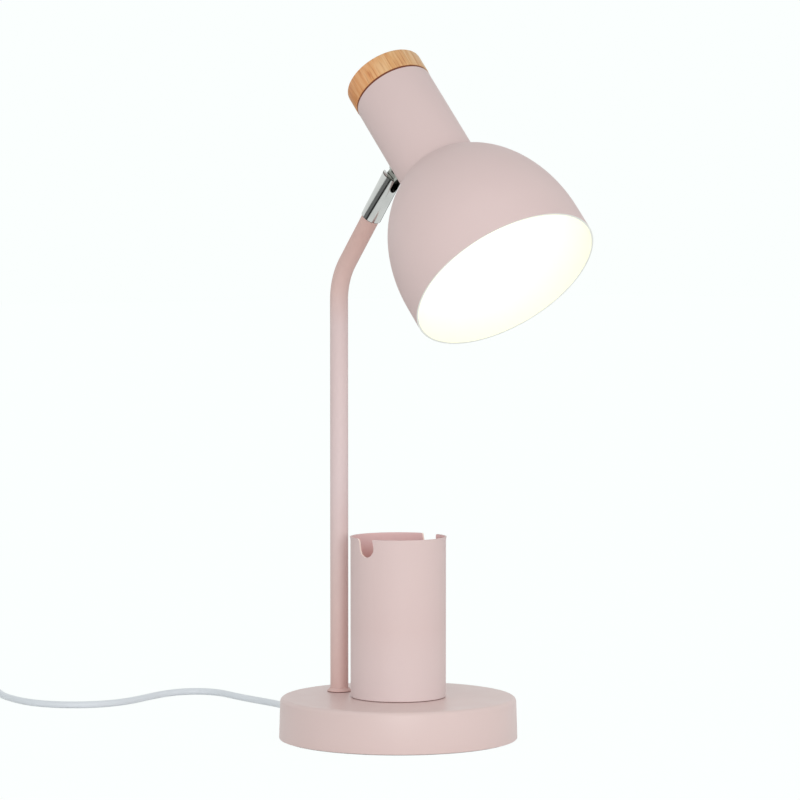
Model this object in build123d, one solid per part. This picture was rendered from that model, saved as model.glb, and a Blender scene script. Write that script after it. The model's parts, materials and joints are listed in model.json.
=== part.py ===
from build123d import *
import os
from math import acos, cos, hypot, pi, radians, sin, sqrt, tan

# Desk lamp with a pen holder.
# Millimetres, +Z up. The origin is the middle of the base's underside, on the table.
# The lamp faces -Y. The arm leans in the plane x = POST_X, and the hinge axis runs along X.

# Fits shared by the pieces
HOLE_PLAY = 0.2  # on the diameter of a drilled hole over its screw or nipple
CAST_PLAY = 0.4  # on the diameter of a hole in the weight or in a loose washer
RUNNING_GAP = 0.05  # on the radius, between parts that turn or slide
SEAT_GAP = 0.02  # between a washer or a nut and the round wall it sits on
OVER = 1.0  # a cutting shape reaches past the face by this much

# Base
BASE_D = 160.0  # across the foot of the cover
BASE_TOP_D = 158.3  # across the top, where the drawn side would meet it
BASE_H = 28.0  # table to the top of the cover
BASE_TOP_FILLET = 3.0
BASE_FOOT_FILLET = 0.8
COVER_WALL = 1.2
COVER_LIFT = 0.4  # the pad holds the cover's edge this far off the table
PAD_T = 1.6
PLATE_T = 1.2
PLATE_GAP = 0.1  # round the closing plate and the pad
WEIGHT_T = 9.0
WEIGHT_GAP = 2.0  # between the weight and the cover's side
WEIGHT_EDGE = 0.8
PAD_EDGE = 0.5

# Post and arm
POST_X = -13.0
POST_Y = 46.0
TUBE_D = 12.2
TUBE_WALL = 1.0
COLLAR_D = 16.4
COLLAR_H = 2.6
COLLAR_EDGE = 0.8  # upright rim below the collar's cone
COLLAR_TOP_T = 0.4
COLLAR_FOOT = 0.35  # undercut round its foot
CORNER_Z = 308.2  # where the post's line meets the arm's line
BEND_R = 40.0
ARM_LEAN = 39.0  # degrees from upright
ARM_RUN = 52.9  # corner to the end of the tube, along the arm
NIPPLE_D = 10.0
NIPPLE_BORE = 6.0
NIPPLE_UP = 22.0  # length inside the tube
NIPPLE_DOWN = 15.6  # length below the cover's top
POST_WASHER_D = 20.0
POST_WASHER_T = 1.0
POST_NUT_AF = 14.0
POST_NUT_T = 3.6

# Pen cup
CUP_D = 64.0
CUP_H = 107.8
CUP_WALL = 1.2
CUP_LIP = 0.45  # the rim flares out by this much
CUP_LIP_H = 2.0
CUP_FOOT_FILLET = 1.0
CUP_TURN = 5.5  # degrees, as the cup is turned on its screw
NOTCH_W = 12.0
NOTCH_DEPTH = 12.0
NOTCH_SLANT = 11.0  # degrees, the bottom towards the front
NOTCH_SHIFT = 0.2  # of the notch's middle line at the rim, towards the rear
NOTCH_CORNER = 1.2
CUP_SCREW_D = 4.0
CUP_SCREW_HEAD_D = 8.0
CUP_SCREW_HEAD_T = 2.4
CUP_SCREW_CROSS = 4.6  # across the driver's cross
CROSS_W = 1.0
CROSS_DEPTH = 1.0
SCREW_END = 1.5  # of a screw below its nut
CUP_NUT_AF = 7.0
CUP_NUT_T = 3.2

# Hinge at the end of the arm
BARREL_D = 14.0
BARREL_LEN = 35.6
BARREL_EDGE = 0.4
SPIGOT_LEN = 12.0
SPIGOT_GAP = 0.03
LEAD_BORE = 4.6
SLOT_W = 6.0
SLOT_DEPTH = 9.3
PIVOT_IN = 3.3  # pivot to the end of the barrel
HINGE_SCREW_D = 4.0
HINGE_HEAD_D = 6.4
HINGE_HEAD_T = 1.6
HINGE_HEAD_SINK = 0.5  # the head's face below the barrel's surface
HINGE_SLOT_W = 0.9
HINGE_SLOT_DEPTH = 0.8
HINGE_BLIND = 1.5  # wall left outside the screw's far end
HINGE_WASHER_D = 6.4
HINGE_WASHER_PLAY = 0.03  # on each face of a friction washer
TONGUE_T = 5.0
TONGUE_R = 4.0
TONGUE_COLLAR_D = 12.0
TONGUE_COLLAR_T = 2.4
TONGUE_EDGE = 0.4
STUD_D = 8.0
STUD_BORE = 3.6
STUD_BORE_START = 0.6  # from the collar's near face
SADDLE_D = 14.0
SADDLE_T = 2.5  # at its middle, from collar to neck
SADDLE_SIDE = 2.0  # its sides reach this far round the neck
STUD_NUT_AF = 13.0
STUD_NUT_T = 3.6
STUD_END = 0.6  # the stud stands out of its nut by this much

# Shade
TILT = 41.8  # degrees, of the shade's axis from straight down
NECK_D = 53.4
NECK_LEN = 69.6  # crease to cap
DOME_D = 126.4
DOME_AXIS = 82.6  # half length of the dome's elliptic outline
DOME_POINTS = 8  # spans of the curve drawn through the ellipse
SKIRT_H = 18.5  # below the ellipse's middle
SHADE_WALL = 1.2
CREASE_FILLET = 2.0
RIM_FILLET = 0.4
REACH = 39.8  # pivot to the shade's axis
GRIP_RISE = 30.0  # crease to the stud, along the neck

# Wooden cap
CAP_D = 53.9
CAP_H = 15.6
CAP_FILLET = 1.2
CAP_SEAM_H = 0.6  # shadow gap between the cap and the neck
CAP_SEAM_IN = 0.8
CAP_RECESS_D = 22.0
CAP_RECESS_DEPTH = 7.0
CAP_SCREW_D = 3.0
CAP_SCREW_HEAD_D = 5.6
CAP_SCREW_HEAD_T = 1.8
CAP_SCREW_LEN = 9.0
CAP_SCREW_SPREAD = 38.0

# Lampholder and bulb
HOLDER_D = 26.0
HOLDER_LEN = 48.0
HOLDER_SHOULDER_D = 17.0
HOLDER_SHOULDER_H = 6.0
HOLDER_COLLAR_H = 2.0
HOLDER_LIP_D = 28.0
HOLDER_LIP_H = 3.0
HOLDER_LIP_SLOPE = 1.0
HOLDER_BORE = 14.4
HOLDER_STEM = 6.5  # of the threaded stem above the neck's end plate
HOLDER_NUT_AF = 14.0
HOLDER_NUT_T = 3.0
BULB_CAP_D = 13.9
BULB_CAP_LEN = 22.0
BULB_CAP_CONE = 2.5
BULB_CONTACT_D = 6.0
BULB_CONTACT_H = 1.6
BULB_D = 45.0
BULB_LEN = 57.0  # of the glass, along the axis
BULB_STEM_D = 17.0
BULB_STEM_GAP = 0.5  # below the holder's mouth
BULB_WALL = 1.0
BULB_SHOULDER = 35.0  # degrees above the globe's middle, where the stem's curve starts
BULB_NECK_LEN = 9.0

# Leads inside
LEAD_D = 3.4
LEAD_TURN = 6.0
LEAD_TURN_TIGHT = 3.2
LEAD_LEVEL = 5.0  # height of its middle inside the base
LEAD_GAP = 0.05
HEAD_LEAD_AWAY = 1.4  # between the lead and the lampholder's side
HEAD_LEAD_DROP = 4.0  # of its upper turn below the holder's shoulder
LEAD_FAIR = 0.98  # share of the shorter run that a turn may take

# Gland where the cord leaves the base
GLAND_Z = 9.0
GLAND_HOLE_D = 8.6
GLAND_FLANGE_D = 11.0
GLAND_FLANGE_T = 1.5
GLAND_IN = 5.0  # inside the cover
GLAND_OUT = 20.0  # outside the cover
GLAND_ROOT_D = 9.6
GLAND_TIP_D = 6.8
GLAND_SEAT_GAP = 0.25  # to the round wall
GLAND_TIP_ROUND = 0.6  # of the tip's wall

# Cord
CORD_D = 4.8
SWITCH_X = -87.5
SWITCH_Y0 = 366.0
CORD_REST = CORD_D / 2
SWITCH_CORD_Z = 7.5
CORD_SHARE = 0.45  # of the shorter run, taken up by a corner's arc
LEAD_ROUTE = [
    (0, 100, GLAND_Z),
    (0, 109, GLAND_Z),
    (3, 120, GLAND_Z - 2.6),
    (10, 130.5, CORD_REST + 0.6),
    (20, 140.5, CORD_REST),
    (29, 153, CORD_REST),
    (33, 168, CORD_REST),
    (34, 184, CORD_REST),
    (34.5, 199, CORD_REST),
    (35.5, 216, CORD_REST),
    (38, 232, CORD_REST),
    (39.5, 247, CORD_REST),
    (34, 260, CORD_REST),
    (22, 267.5, CORD_REST),
    (7.5, 267.5, CORD_REST),
    (-12, 261.5, CORD_REST),
    (-33, 253, CORD_REST),
    (-54, 249.5, CORD_REST),
    (-73.5, 255.5, CORD_REST),
    (-88, 269, CORD_REST),
    (-95.5, 287, CORD_REST),
    (-96, 306, CORD_REST),
    (-92.8, 324, CORD_REST),
    (-88.8, 339, CORD_REST),
    (SWITCH_X, 352.5, SWITCH_CORD_Z),
    (SWITCH_X, SWITCH_Y0, SWITCH_CORD_Z),
]

# Coil of the rest of the cord
COIL_R = 37.0  # of the outermost turn's middle line
COIL_PITCH = 5.25  # from turn to turn and from layer to layer
COIL_AWAY = 26.0  # from the switch to the coil's start
COIL_HALF_TURNS_LOW = 7
COIL_HALF_TURNS_TOP = 5
CLIMB_SLOPE = 0.135  # at the middle of the half turn that climbs a layer
TIE_T = 0.8
TIE_W = 9.0
TIE_GAP = 0.3  # round the bundle
TIE_UNDER = 0.05  # below the bundle
TIE_CORNER = 1.2
CLIMB_ROOM = 1.3  # the climbing turn cuts inside its circle by up to this much

# Switch in the cord
SWITCH_LEN = 58.0
SWITCH_W = 24.0
SWITCH_H = 15.4
SWITCH_SPLIT = 7.5
SWITCH_END_W = 11.0
SWITCH_TAPER = 12.0
SWITCH_FILLET = 2.4
ROCKER_LEN = 18.4
ROCKER_W = 12.0
ROCKER_TILT = 10.0  # degrees each side of level
ROCKER_RISE = 3.0  # of the rocker's middle ridge above its pivot
ROCKER_DROP = 4.0
ROCKER_SIDE = 0.35  # share of the drop at its ends
ROCKER_FLAT = 0.6  # share of its length that is full depth
ROCKER_EDGE = 0.5
ROCKER_PIN_D = 2.4
ROCKER_PIN_LEN = 2.0
ROCKER_SIDE_GAP = 0.35
ROCKER_END_GAP = 1.0
ROCKER_PIVOT_DROP = 1.6  # pivot below the cover's top
SWITCH_SCREW_D = 3.0
SWITCH_SCREW_HEAD_D = 5.4
SWITCH_SCREW_HEAD_T = 2.0
SWITCH_SCREW_SINK = 0.6
SWITCH_SCREW_ROOM = 0.3  # round its head
SWITCH_SCREW_CROSS = 3.4
SWITCH_CROSS_W = 0.8
SWITCH_CROSS_DEPTH = 0.9
SWITCH_SCREW_LEN = 10.0
SWITCH_SCREW_Y = 19.0  # from the middle of the switch

# Plug
PLUG_W = 35.3
PLUG_T = 13.8
PLUG_FACE_LEN = 9.0  # full width behind the face
PLUG_LEN = 30.0
PLUG_BACK_W = 11.0
PLUG_FILLET = 2.5
PLUG_SLEEVE_LEN = 14.0
PLUG_SLEEVE_D = 9.0
PLUG_SLEEVE_TIP_D = 6.8
PIN_D = 4.0
PIN_LEN = 19.0
PIN_TIP = 1.0
PIN_SPACING = 18.6
PIN_ROOT = 6.0  # length held in the plug
TAIL_RUN = 18.0


def step(name, *solids):
    """Write one node, from one solid or a group of separate solids."""
    shape = solids[0] if len(solids) == 1 else Compound(children=list(solids))
    shape.label = name
    export_step(shape, f"parts/{name}.step")


def one(shape):
    """The single solid of a finished piece."""
    return shape.solid() if hasattr(shape, "solid") else shape


def rod(diameter, start, end, x=0.0, y=0.0):
    """Upright round bar between two heights."""
    return Pos(x, y, start) * Cylinder(
        diameter / 2, end - start, align=(Align.CENTER, Align.CENTER, Align.MIN)
    )


def turned(points):
    """Solid of revolution about Z, from a closed outline of (radius, height) points."""
    outline = Polyline(*[(r, 0, z) for r, z in points], close=True)
    return revolve(make_face(outline), Axis.Z)


def hex_nut(across_flats, bore, start, end, x=0.0, y=0.0):
    """Hexagon nut between two heights, with its corners rounded off at both faces."""
    corner = across_flats / 2 / cos(pi / 6)
    body = Pos(x, y, start) * extrude(RegularPolygon(corner, 6), end - start)
    slope = (corner - across_flats / 2) * 0.6
    round_off = turned([
        (0, start), (corner - slope, start), (corner, start + slope),
        (corner, end - slope), (corner - slope, end), (0, end),
    ])
    return one(body & (Pos(x, y, 0) * round_off) - rod(bore, start, end, x, y))


def driver_cross(reach, width, depth):
    """Cross recess for a screwdriver, to be cut from a face at zero."""
    return Box(reach, width, 2 * depth) + Box(width, reach, 2 * depth)


def tube_along(path, diameter):
    """Round solid along a path."""
    start = Plane(origin=path @ 0, z_dir=path % 0)
    return one(sweep(start * Circle(diameter / 2), path=path))


def corner_radii(points, share):
    """Largest fair radius at each inner point of a route."""
    radii = []
    for before, here, after in zip(points, points[1:], points[2:]):
        first = Vector(*here) - Vector(*before)
        second = Vector(*after) - Vector(*here)
        turn = radians(first.get_angle(second))
        radii.append(share * min(first.length, second.length) / tan(turn / 2))
    return radii


def cord_tube(name, points):
    """Cord along straight runs and tangent arcs, with its radii and volume printed."""
    radii = corner_radii(points, CORD_SHARE)
    path = FilletPolyline(*points, radius=radii)
    tube = tube_along(path, CORD_D)
    ideal = pi * CORD_D**2 / 4 * path.length
    print(name, "length", round(path.length, 1), "volume share", round(tube.volume / ideal, 5))
    if radii:
        print(name, "radii", [round(r) for r in radii])
    return tube


# Frames of the arm's end and of the shade

def arm_line(distance):
    """Point on the arm's straight part, at a distance beyond the corner."""
    lean = radians(ARM_LEAN)
    return Vector(POST_X, POST_Y - distance * sin(lean), CORNER_Z + distance * cos(lean))


PIVOT_RUN = ARM_RUN + BARREL_LEN - PIVOT_IN
PIVOT = arm_line(PIVOT_RUN)
AT_BARREL = Pos(*arm_line(ARM_RUN)) * Rot(X=ARM_LEAN)
AT_PIVOT = Pos(*PIVOT) * Rot(X=-TILT)
AT_SHADE = AT_PIVOT * Pos(0, -REACH, -GRIP_RISE)


# Base

def cover_outline(inset):
    """Outline of the drawn cover, moved in by a wall."""
    foot, top = BASE_D / 2 - inset, BASE_TOP_D / 2 - inset
    return [(0, COVER_LIFT), (foot, COVER_LIFT), (top, BASE_H - inset), (0, BASE_H - inset)]


def base_cover():
    outside = turned(cover_outline(0))
    rims = outside.edges().filter_by(GeomType.CIRCLE).sort_by(Axis.Z)
    outside = fillet(rims[-1], BASE_TOP_FILLET)
    outside = fillet(outside.edges().filter_by(GeomType.CIRCLE).sort_by(Axis.Z)[0], BASE_FOOT_FILLET)
    inside = turned(cover_outline(COVER_WALL))
    inner_top = inside.edges().filter_by(GeomType.CIRCLE).sort_by(Axis.Z)[-1]
    inside = fillet(inner_top, BASE_TOP_FILLET - COVER_WALL)
    shell = outside - inside
    shell -= rod(NIPPLE_D + HOLE_PLAY, 0, BASE_H + OVER, POST_X, POST_Y)
    shell -= rod(CUP_SCREW_D + HOLE_PLAY, 0, BASE_H + OVER)
    gland_hole = Pos(0, BASE_D / 2, GLAND_Z) * Rot(X=90) * Cylinder(GLAND_HOLE_D / 2, GLAND_HOLE_D)
    return one(shell - gland_hole)


WEIGHT_TOP = BASE_H - COVER_WALL
WEIGHT_FOOT = WEIGHT_TOP - WEIGHT_T


def base_weight():
    disc = rod(BASE_TOP_D - 2 * (COVER_WALL + WEIGHT_GAP), WEIGHT_FOOT, WEIGHT_TOP)
    disc = chamfer(disc.edges().filter_by(GeomType.CIRCLE), WEIGHT_EDGE)
    disc -= rod(NIPPLE_D + CAST_PLAY, 0, BASE_H, POST_X, POST_Y)
    disc -= rod(CUP_SCREW_D + CAST_PLAY, 0, BASE_H)
    return one(disc)


def inside_radius(height):
    """Radius of the cover's inner wall at a height."""
    share = (height - COVER_LIFT) / (BASE_H - COVER_WALL - COVER_LIFT)
    return BASE_D / 2 - COVER_WALL - share * (BASE_D - BASE_TOP_D) / 2


def base_plate():
    radius = inside_radius(PAD_T + PLATE_T) - PLATE_GAP
    return one(rod(2 * radius, PAD_T, PAD_T + PLATE_T))


def base_pad():
    radius = inside_radius(PAD_T) - PLATE_GAP
    return one(fillet(rod(2 * radius, 0, PAD_T).edges().sort_by(Axis.Z)[0], PAD_EDGE))


# Post

def post_tube():
    foot = Vector(POST_X, POST_Y, BASE_H)
    corner = Vector(POST_X, POST_Y, CORNER_Z)
    path = FilletPolyline(foot, corner, arm_line(ARM_RUN), radius=BEND_R)
    outer = tube_along(path, TUBE_D)
    return one(outer - tube_along(path, TUBE_D - 2 * TUBE_WALL))


def post_collar():
    inner, outer = TUBE_D / 2 + RUNNING_GAP, COLLAR_D / 2
    top = inner + COLLAR_TOP_T
    ring = turned([
        (inner, BASE_H), (outer - COLLAR_FOOT, BASE_H), (outer, BASE_H + COLLAR_FOOT),
        (outer, BASE_H + COLLAR_EDGE),
        (top, BASE_H + COLLAR_H), (inner, BASE_H + COLLAR_H),
    ])
    return one(Pos(POST_X, POST_Y, 0) * ring)


def post_nipple():
    start, end = BASE_H - NIPPLE_DOWN, BASE_H + NIPPLE_UP
    bar = rod(NIPPLE_D, start, end, POST_X, POST_Y)
    head = rod(TUBE_D - 2 * TUBE_WALL, BASE_H, end, POST_X, POST_Y)
    return one(bar + head - rod(NIPPLE_BORE, start, end, POST_X, POST_Y))


def post_washer():
    top = WEIGHT_FOOT
    disc = rod(POST_WASHER_D, top - POST_WASHER_T, top, POST_X, POST_Y)
    return one(disc - rod(NIPPLE_D + CAST_PLAY, 0, top, POST_X, POST_Y))


def post_nut():
    top = WEIGHT_FOOT - POST_WASHER_T
    return hex_nut(POST_NUT_AF, NIPPLE_D, top - POST_NUT_T, top, POST_X, POST_Y)


# Pen cup

def cup_notch():
    """Slanted U through both sides of the rim, with its top corners rounded."""
    rim = BASE_H + CUP_H
    half, reach = NOTCH_W / 2, CUP_D
    floor = -NOTCH_DEPTH / cos(radians(NOTCH_SLANT)) + half
    bar = Pos(0, 0, floor) * Rot(Y=90) * Cylinder(half, 2 * reach)
    bar += Pos(0, 0, (floor + NOTCH_DEPTH) / 2) * Box(2 * reach, NOTCH_W, NOTCH_DEPTH - floor)
    bar = Pos(0, NOTCH_SHIFT, rim) * Rot(X=-NOTCH_SLANT) * bar
    return bar + mouth_rounding(rim, reach)


def mouth_rounding(rim, reach):
    """What the rounded top corners of the notch take away."""
    shift = NOTCH_W / 2 / cos(radians(NOTCH_SLANT))
    sides = []
    for side in (-1, 1):
        corner = NOTCH_SHIFT + side * shift
        block = Pos(0, corner, rim) * Box(2 * reach, 2 * NOTCH_CORNER, 2 * NOTCH_CORNER)
        middle = corner + side * NOTCH_CORNER
        round_bar = Pos(0, middle, rim - NOTCH_CORNER) * Rot(Y=90) * Cylinder(NOTCH_CORNER, 2 * reach)
        sides.append(block - round_bar)
    return sides[0] + sides[1]


def pen_cup():
    radius, top = CUP_D / 2, BASE_H + CUP_H
    inner, floor = radius - CUP_WALL, BASE_H + CUP_WALL
    cup = turned([
        (0, BASE_H), (radius, BASE_H), (radius, top - CUP_LIP_H), (radius + CUP_LIP, top),
        (inner + CUP_LIP, top), (inner, top - CUP_LIP_H), (inner, floor), (0, floor),
    ])
    foot = cup.edges().filter_by(GeomType.CIRCLE).filter_by(
        lambda e: abs(e.radius - radius) < SEAT_GAP and e.center().Z < floor - SEAT_GAP
    )
    cup = fillet(foot, CUP_FOOT_FILLET)
    cup -= rod(CUP_SCREW_D + HOLE_PLAY, BASE_H - OVER, floor + OVER)
    return one(Rot(Z=CUP_TURN) * (cup - cup_notch()))


def cup_screw():
    seat = BASE_H + CUP_WALL
    end = WEIGHT_FOOT - CUP_NUT_T - SCREW_END
    head = rod(CUP_SCREW_HEAD_D, seat, seat + CUP_SCREW_HEAD_T)
    head = fillet(head.edges().sort_by(Axis.Z)[-1], CUP_SCREW_HEAD_T * 0.6)
    head -= Pos(0, 0, seat + CUP_SCREW_HEAD_T) * driver_cross(CUP_SCREW_CROSS, CROSS_W, CROSS_DEPTH)
    return one(head + rod(CUP_SCREW_D, end, seat))


def cup_nut():
    return hex_nut(CUP_NUT_AF, CUP_SCREW_D, WEIGHT_FOOT - CUP_NUT_T, WEIGHT_FOOT)


# Hinge

SLOT_FLOOR = BARREL_LEN - SLOT_DEPTH
PIVOT_HEIGHT = BARREL_LEN - PIVOT_IN
HEAD_FACE = BARREL_D / 2 - HINGE_HEAD_SINK
HEAD_SEAT = HEAD_FACE - HINGE_HEAD_T


def across(diameter, start, end, height):
    """Round bar along X at a height on the barrel's line."""
    return Pos((start + end) / 2, 0, height) * Rot(Y=90) * Cylinder(diameter / 2, end - start)


def hinge_barrel():
    """Slotted chrome barrel, with a spigot that holds it in the tube."""
    body = chamfer(rod(BARREL_D, 0, BARREL_LEN).edges().filter_by(GeomType.CIRCLE), BARREL_EDGE)
    body += rod(TUBE_D - 2 * TUBE_WALL - 2 * SPIGOT_GAP, -SPIGOT_LEN, 0)
    body -= rod(LEAD_BORE, -SPIGOT_LEN, BARREL_LEN)
    round_floor = SLOT_FLOOR + SLOT_W / 2
    through = BARREL_D + 2 * OVER
    slot = Pos(0, 0, round_floor) * Rot(X=90) * Cylinder(SLOT_W / 2, through)
    slot += Pos(0, 0, round_floor + SLOT_DEPTH / 2) * Box(SLOT_W, through, SLOT_DEPTH)
    body -= slot
    far_end = -BARREL_D / 2 + HINGE_BLIND
    body -= across(HINGE_SCREW_D, far_end, HEAD_SEAT, PIVOT_HEIGHT)
    body -= across(HINGE_HEAD_D + HOLE_PLAY, HEAD_SEAT, BARREL_D, PIVOT_HEIGHT)
    return one(AT_BARREL * body)


def hinge_screw():
    far_end = -BARREL_D / 2 + HINGE_BLIND
    screw = across(HINGE_SCREW_D, far_end, HEAD_SEAT, PIVOT_HEIGHT)
    screw += across(HINGE_HEAD_D, HEAD_SEAT, HEAD_FACE, PIVOT_HEIGHT)
    slot = Box(2 * HINGE_SLOT_DEPTH, HINGE_HEAD_D + OVER, HINGE_SLOT_W)
    screw -= Pos(HEAD_FACE, 0, PIVOT_HEIGHT) * slot
    return one(AT_BARREL * screw)


def hinge_washers():
    """The two friction washers, one on each side of the tongue."""
    pair = []
    for side in (-1, 1):
        near, far = TONGUE_T / 2 + HINGE_WASHER_PLAY, SLOT_W / 2 - HINGE_WASHER_PLAY
        start, end = sorted((side * near, side * far))
        ring = across(HINGE_WASHER_D, start, end, PIVOT_HEIGHT)
        ring -= across(HINGE_SCREW_D + 2 * RUNNING_GAP, start, end, PIVOT_HEIGHT)
        pair.append(one(AT_BARREL * ring))
    return pair


def along_stud(diameter, start, end):
    """Round bar along the stud, between two distances from the pivot."""
    return Pos(0, -(start + end) / 2, 0) * Rot(X=90) * Cylinder(diameter / 2, end - start)


NECK_FACE = REACH - NECK_D / 2  # pivot to the neck's surface
NECK_INSIDE = NECK_FACE + SHADE_WALL
STUD_TIP = NECK_INSIDE + STUD_NUT_T + STUD_END


def hinge_tongue():
    """Flat eye in the slot, with a collar and a hollow stud through the neck."""
    collar_end = NECK_FACE - SADDLE_T
    collar_start = collar_end - TONGUE_COLLAR_T
    eye = Rot(Y=90) * Cylinder(TONGUE_R, TONGUE_T)
    shank = Pos(0, -collar_start / 2, 0) * Box(TONGUE_T, collar_start, 2 * TONGUE_R)
    collar = along_stud(TONGUE_COLLAR_D, collar_start, collar_end)
    collar = chamfer(collar.edges().filter_by(GeomType.CIRCLE), TONGUE_EDGE)
    body = eye + shank + collar + along_stud(STUD_D, collar_end, STUD_TIP)
    body -= Rot(Y=90) * Cylinder(HINGE_SCREW_D / 2 + RUNNING_GAP, TONGUE_T + 2 * OVER)
    body -= along_stud(STUD_BORE, collar_start + STUD_BORE_START, STUD_TIP)
    return one(AT_PIVOT * body)


def saddle_washer():
    """Washer hollowed to sit on the round neck."""
    body = along_stud(SADDLE_D, NECK_FACE - SADDLE_T, NECK_FACE + SADDLE_SIDE)
    body -= along_stud(STUD_D + HOLE_PLAY, 0, REACH)
    body -= Pos(0, -REACH, 0) * Cylinder(NECK_D / 2 + SEAT_GAP, SADDLE_D + 2 * OVER)
    return one(AT_PIVOT * body)


def stud_nut():
    seat = sqrt((NECK_D / 2 - SHADE_WALL) ** 2 - (STUD_NUT_AF / 2 / cos(pi / 6)) ** 2)
    start = REACH - seat + SEAT_GAP
    nut = hex_nut(STUD_NUT_AF, STUD_D, start, STUD_TIP - STUD_END + start - NECK_INSIDE)
    return one(AT_PIVOT * (Rot(X=90) * nut))


# Shade, in its own frame: Z runs up the neck, and the crease is at zero

def dome_height(radius_neck, radius_dome, half_axis):
    """Crease to the middle of the ellipse."""
    return half_axis * sqrt(1 - (radius_neck / radius_dome) ** 2)


DOME_DROP = dome_height(NECK_D / 2, DOME_D / 2, DOME_AXIS)
RIM = -DOME_DROP - SKIRT_H
END_PLATE = NECK_LEN - SHADE_WALL


def shade_form(inset, crease_fillet, rim):
    """Neck and dome as one turned solid, moved in by a wall, down to the rim's height."""
    neck, dome, half_axis = NECK_D / 2 - inset, DOME_D / 2 - inset, DOME_AXIS - inset
    crease = -DOME_DROP + dome_height(neck, dome, half_axis)
    top = NECK_LEN - inset
    turns = [acos(neck / dome) * i / DOME_POINTS for i in range(DOME_POINTS + 1)]
    curve = [(dome * cos(t), half_axis * sin(t) - DOME_DROP) for t in turns]
    last = (-dome * sin(turns[-1]), half_axis * cos(turns[-1]))
    with BuildSketch(Plane.XZ) as outline:
        with BuildLine():
            Polyline((neck, crease), (neck, top), (0, top), (0, rim), (dome, rim), (dome, -DOME_DROP))
            Spline(*curve, tangents=[(0, 1), last])
        make_face()
        if crease_fillet:
            inner = outline.vertices().sort_by(lambda v: hypot(v.X - neck, v.Y - crease))[0]
            fillet(inner, crease_fillet)
    return revolve(outline.sketch, Axis.Z)


def shade():
    """One spun shell: closed neck, crease and dome, with a plain rim round the opening."""
    shell = shade_form(0, CREASE_FILLET, RIM) - shade_form(SHADE_WALL, 0, RIM - OVER)
    shell = fillet(shell.edges().filter_by(GeomType.CIRCLE).group_by(Axis.Z)[0], RIM_FILLET)
    drill = (END_PLATE - OVER, NECK_LEN + OVER)
    shell -= rod(NIPPLE_D + HOLE_PLAY, *drill)
    for side in (-1, 1):
        shell -= rod(CAP_SCREW_D + HOLE_PLAY, *drill, side * CAP_SCREW_SPREAD / 2)
    shell -= Pos(0, NECK_D / 2, GRIP_RISE) * Rot(X=90) * Cylinder((STUD_D + HOLE_PLAY) / 2, STUD_D)
    return one(AT_SHADE * shell)


def wood_cap():
    body = rod(CAP_D, NECK_LEN + CAP_SEAM_H, NECK_LEN + CAP_H)
    body = fillet(body.edges().filter_by(GeomType.CIRCLE).sort_by(Axis.Z)[-1], CAP_FILLET)
    body += rod(CAP_D - 2 * CAP_SEAM_IN, NECK_LEN, NECK_LEN + CAP_SEAM_H)
    body -= rod(CAP_RECESS_D, NECK_LEN, NECK_LEN + CAP_RECESS_DEPTH)
    for side in (-1, 1):
        body -= rod(
            CAP_SCREW_D, NECK_LEN, NECK_LEN + CAP_SCREW_LEN - SHADE_WALL, side * CAP_SCREW_SPREAD / 2
        )
    return one(AT_SHADE * body)


def cap_screws():
    """The two wood screws that hold the cap, driven from inside the neck."""
    pair = []
    for side in (-1, 1):
        x = side * CAP_SCREW_SPREAD / 2
        shank = rod(CAP_SCREW_D, END_PLATE, END_PLATE + CAP_SCREW_LEN, x)
        head = rod(CAP_SCREW_HEAD_D, END_PLATE - CAP_SCREW_HEAD_T, END_PLATE, x)
        head = fillet(head.edges().filter_by(GeomType.CIRCLE).sort_by(Axis.Z)[0], 1.0)
        pair.append(one(AT_SHADE * (shank + head)))
    return pair


# Lampholder and bulb, in the shade's frame

HOLDER_TOP = END_PLATE
HOLDER_MOUTH = HOLDER_TOP - HOLDER_LEN
HOLDER_FLOOR = HOLDER_MOUTH + BULB_CAP_LEN + BULB_CONTACT_H - BULB_STEM_GAP


def lampholder():
    body, shoulder, lip, bore = HOLDER_D / 2, HOLDER_SHOULDER_D / 2, HOLDER_LIP_D / 2, HOLDER_BORE / 2
    stem = NIPPLE_D / 2
    holder = turned([
        (0, HOLDER_FLOOR), (bore, HOLDER_FLOOR), (bore, HOLDER_MOUTH), (lip, HOLDER_MOUTH),
        (lip, HOLDER_MOUTH + HOLDER_LIP_H), (body, HOLDER_MOUTH + HOLDER_LIP_H + HOLDER_LIP_SLOPE),
        (body, HOLDER_TOP - HOLDER_SHOULDER_H), (shoulder, HOLDER_TOP - HOLDER_COLLAR_H),
        (shoulder, HOLDER_TOP), (stem, HOLDER_TOP), (stem, NECK_LEN + HOLDER_STEM),
        (0, NECK_LEN + HOLDER_STEM),
    ])
    return one(AT_SHADE * holder)


def holder_nut():
    nut = hex_nut(HOLDER_NUT_AF, NIPPLE_D, NECK_LEN, NECK_LEN + HOLDER_NUT_T)
    return one(AT_SHADE * nut)


def bulb_cap():
    foot = HOLDER_MOUTH - BULB_STEM_GAP
    top = foot + BULB_CAP_LEN
    body = turned([
        (0, foot), (BULB_CAP_D / 2, foot), (BULB_CAP_D / 2, top - BULB_CAP_CONE), (BULB_CONTACT_D / 2, top),
        (BULB_CONTACT_D / 2, top + BULB_CONTACT_H), (0, top + BULB_CONTACT_H),
    ])
    return one(AT_SHADE * body)


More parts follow.
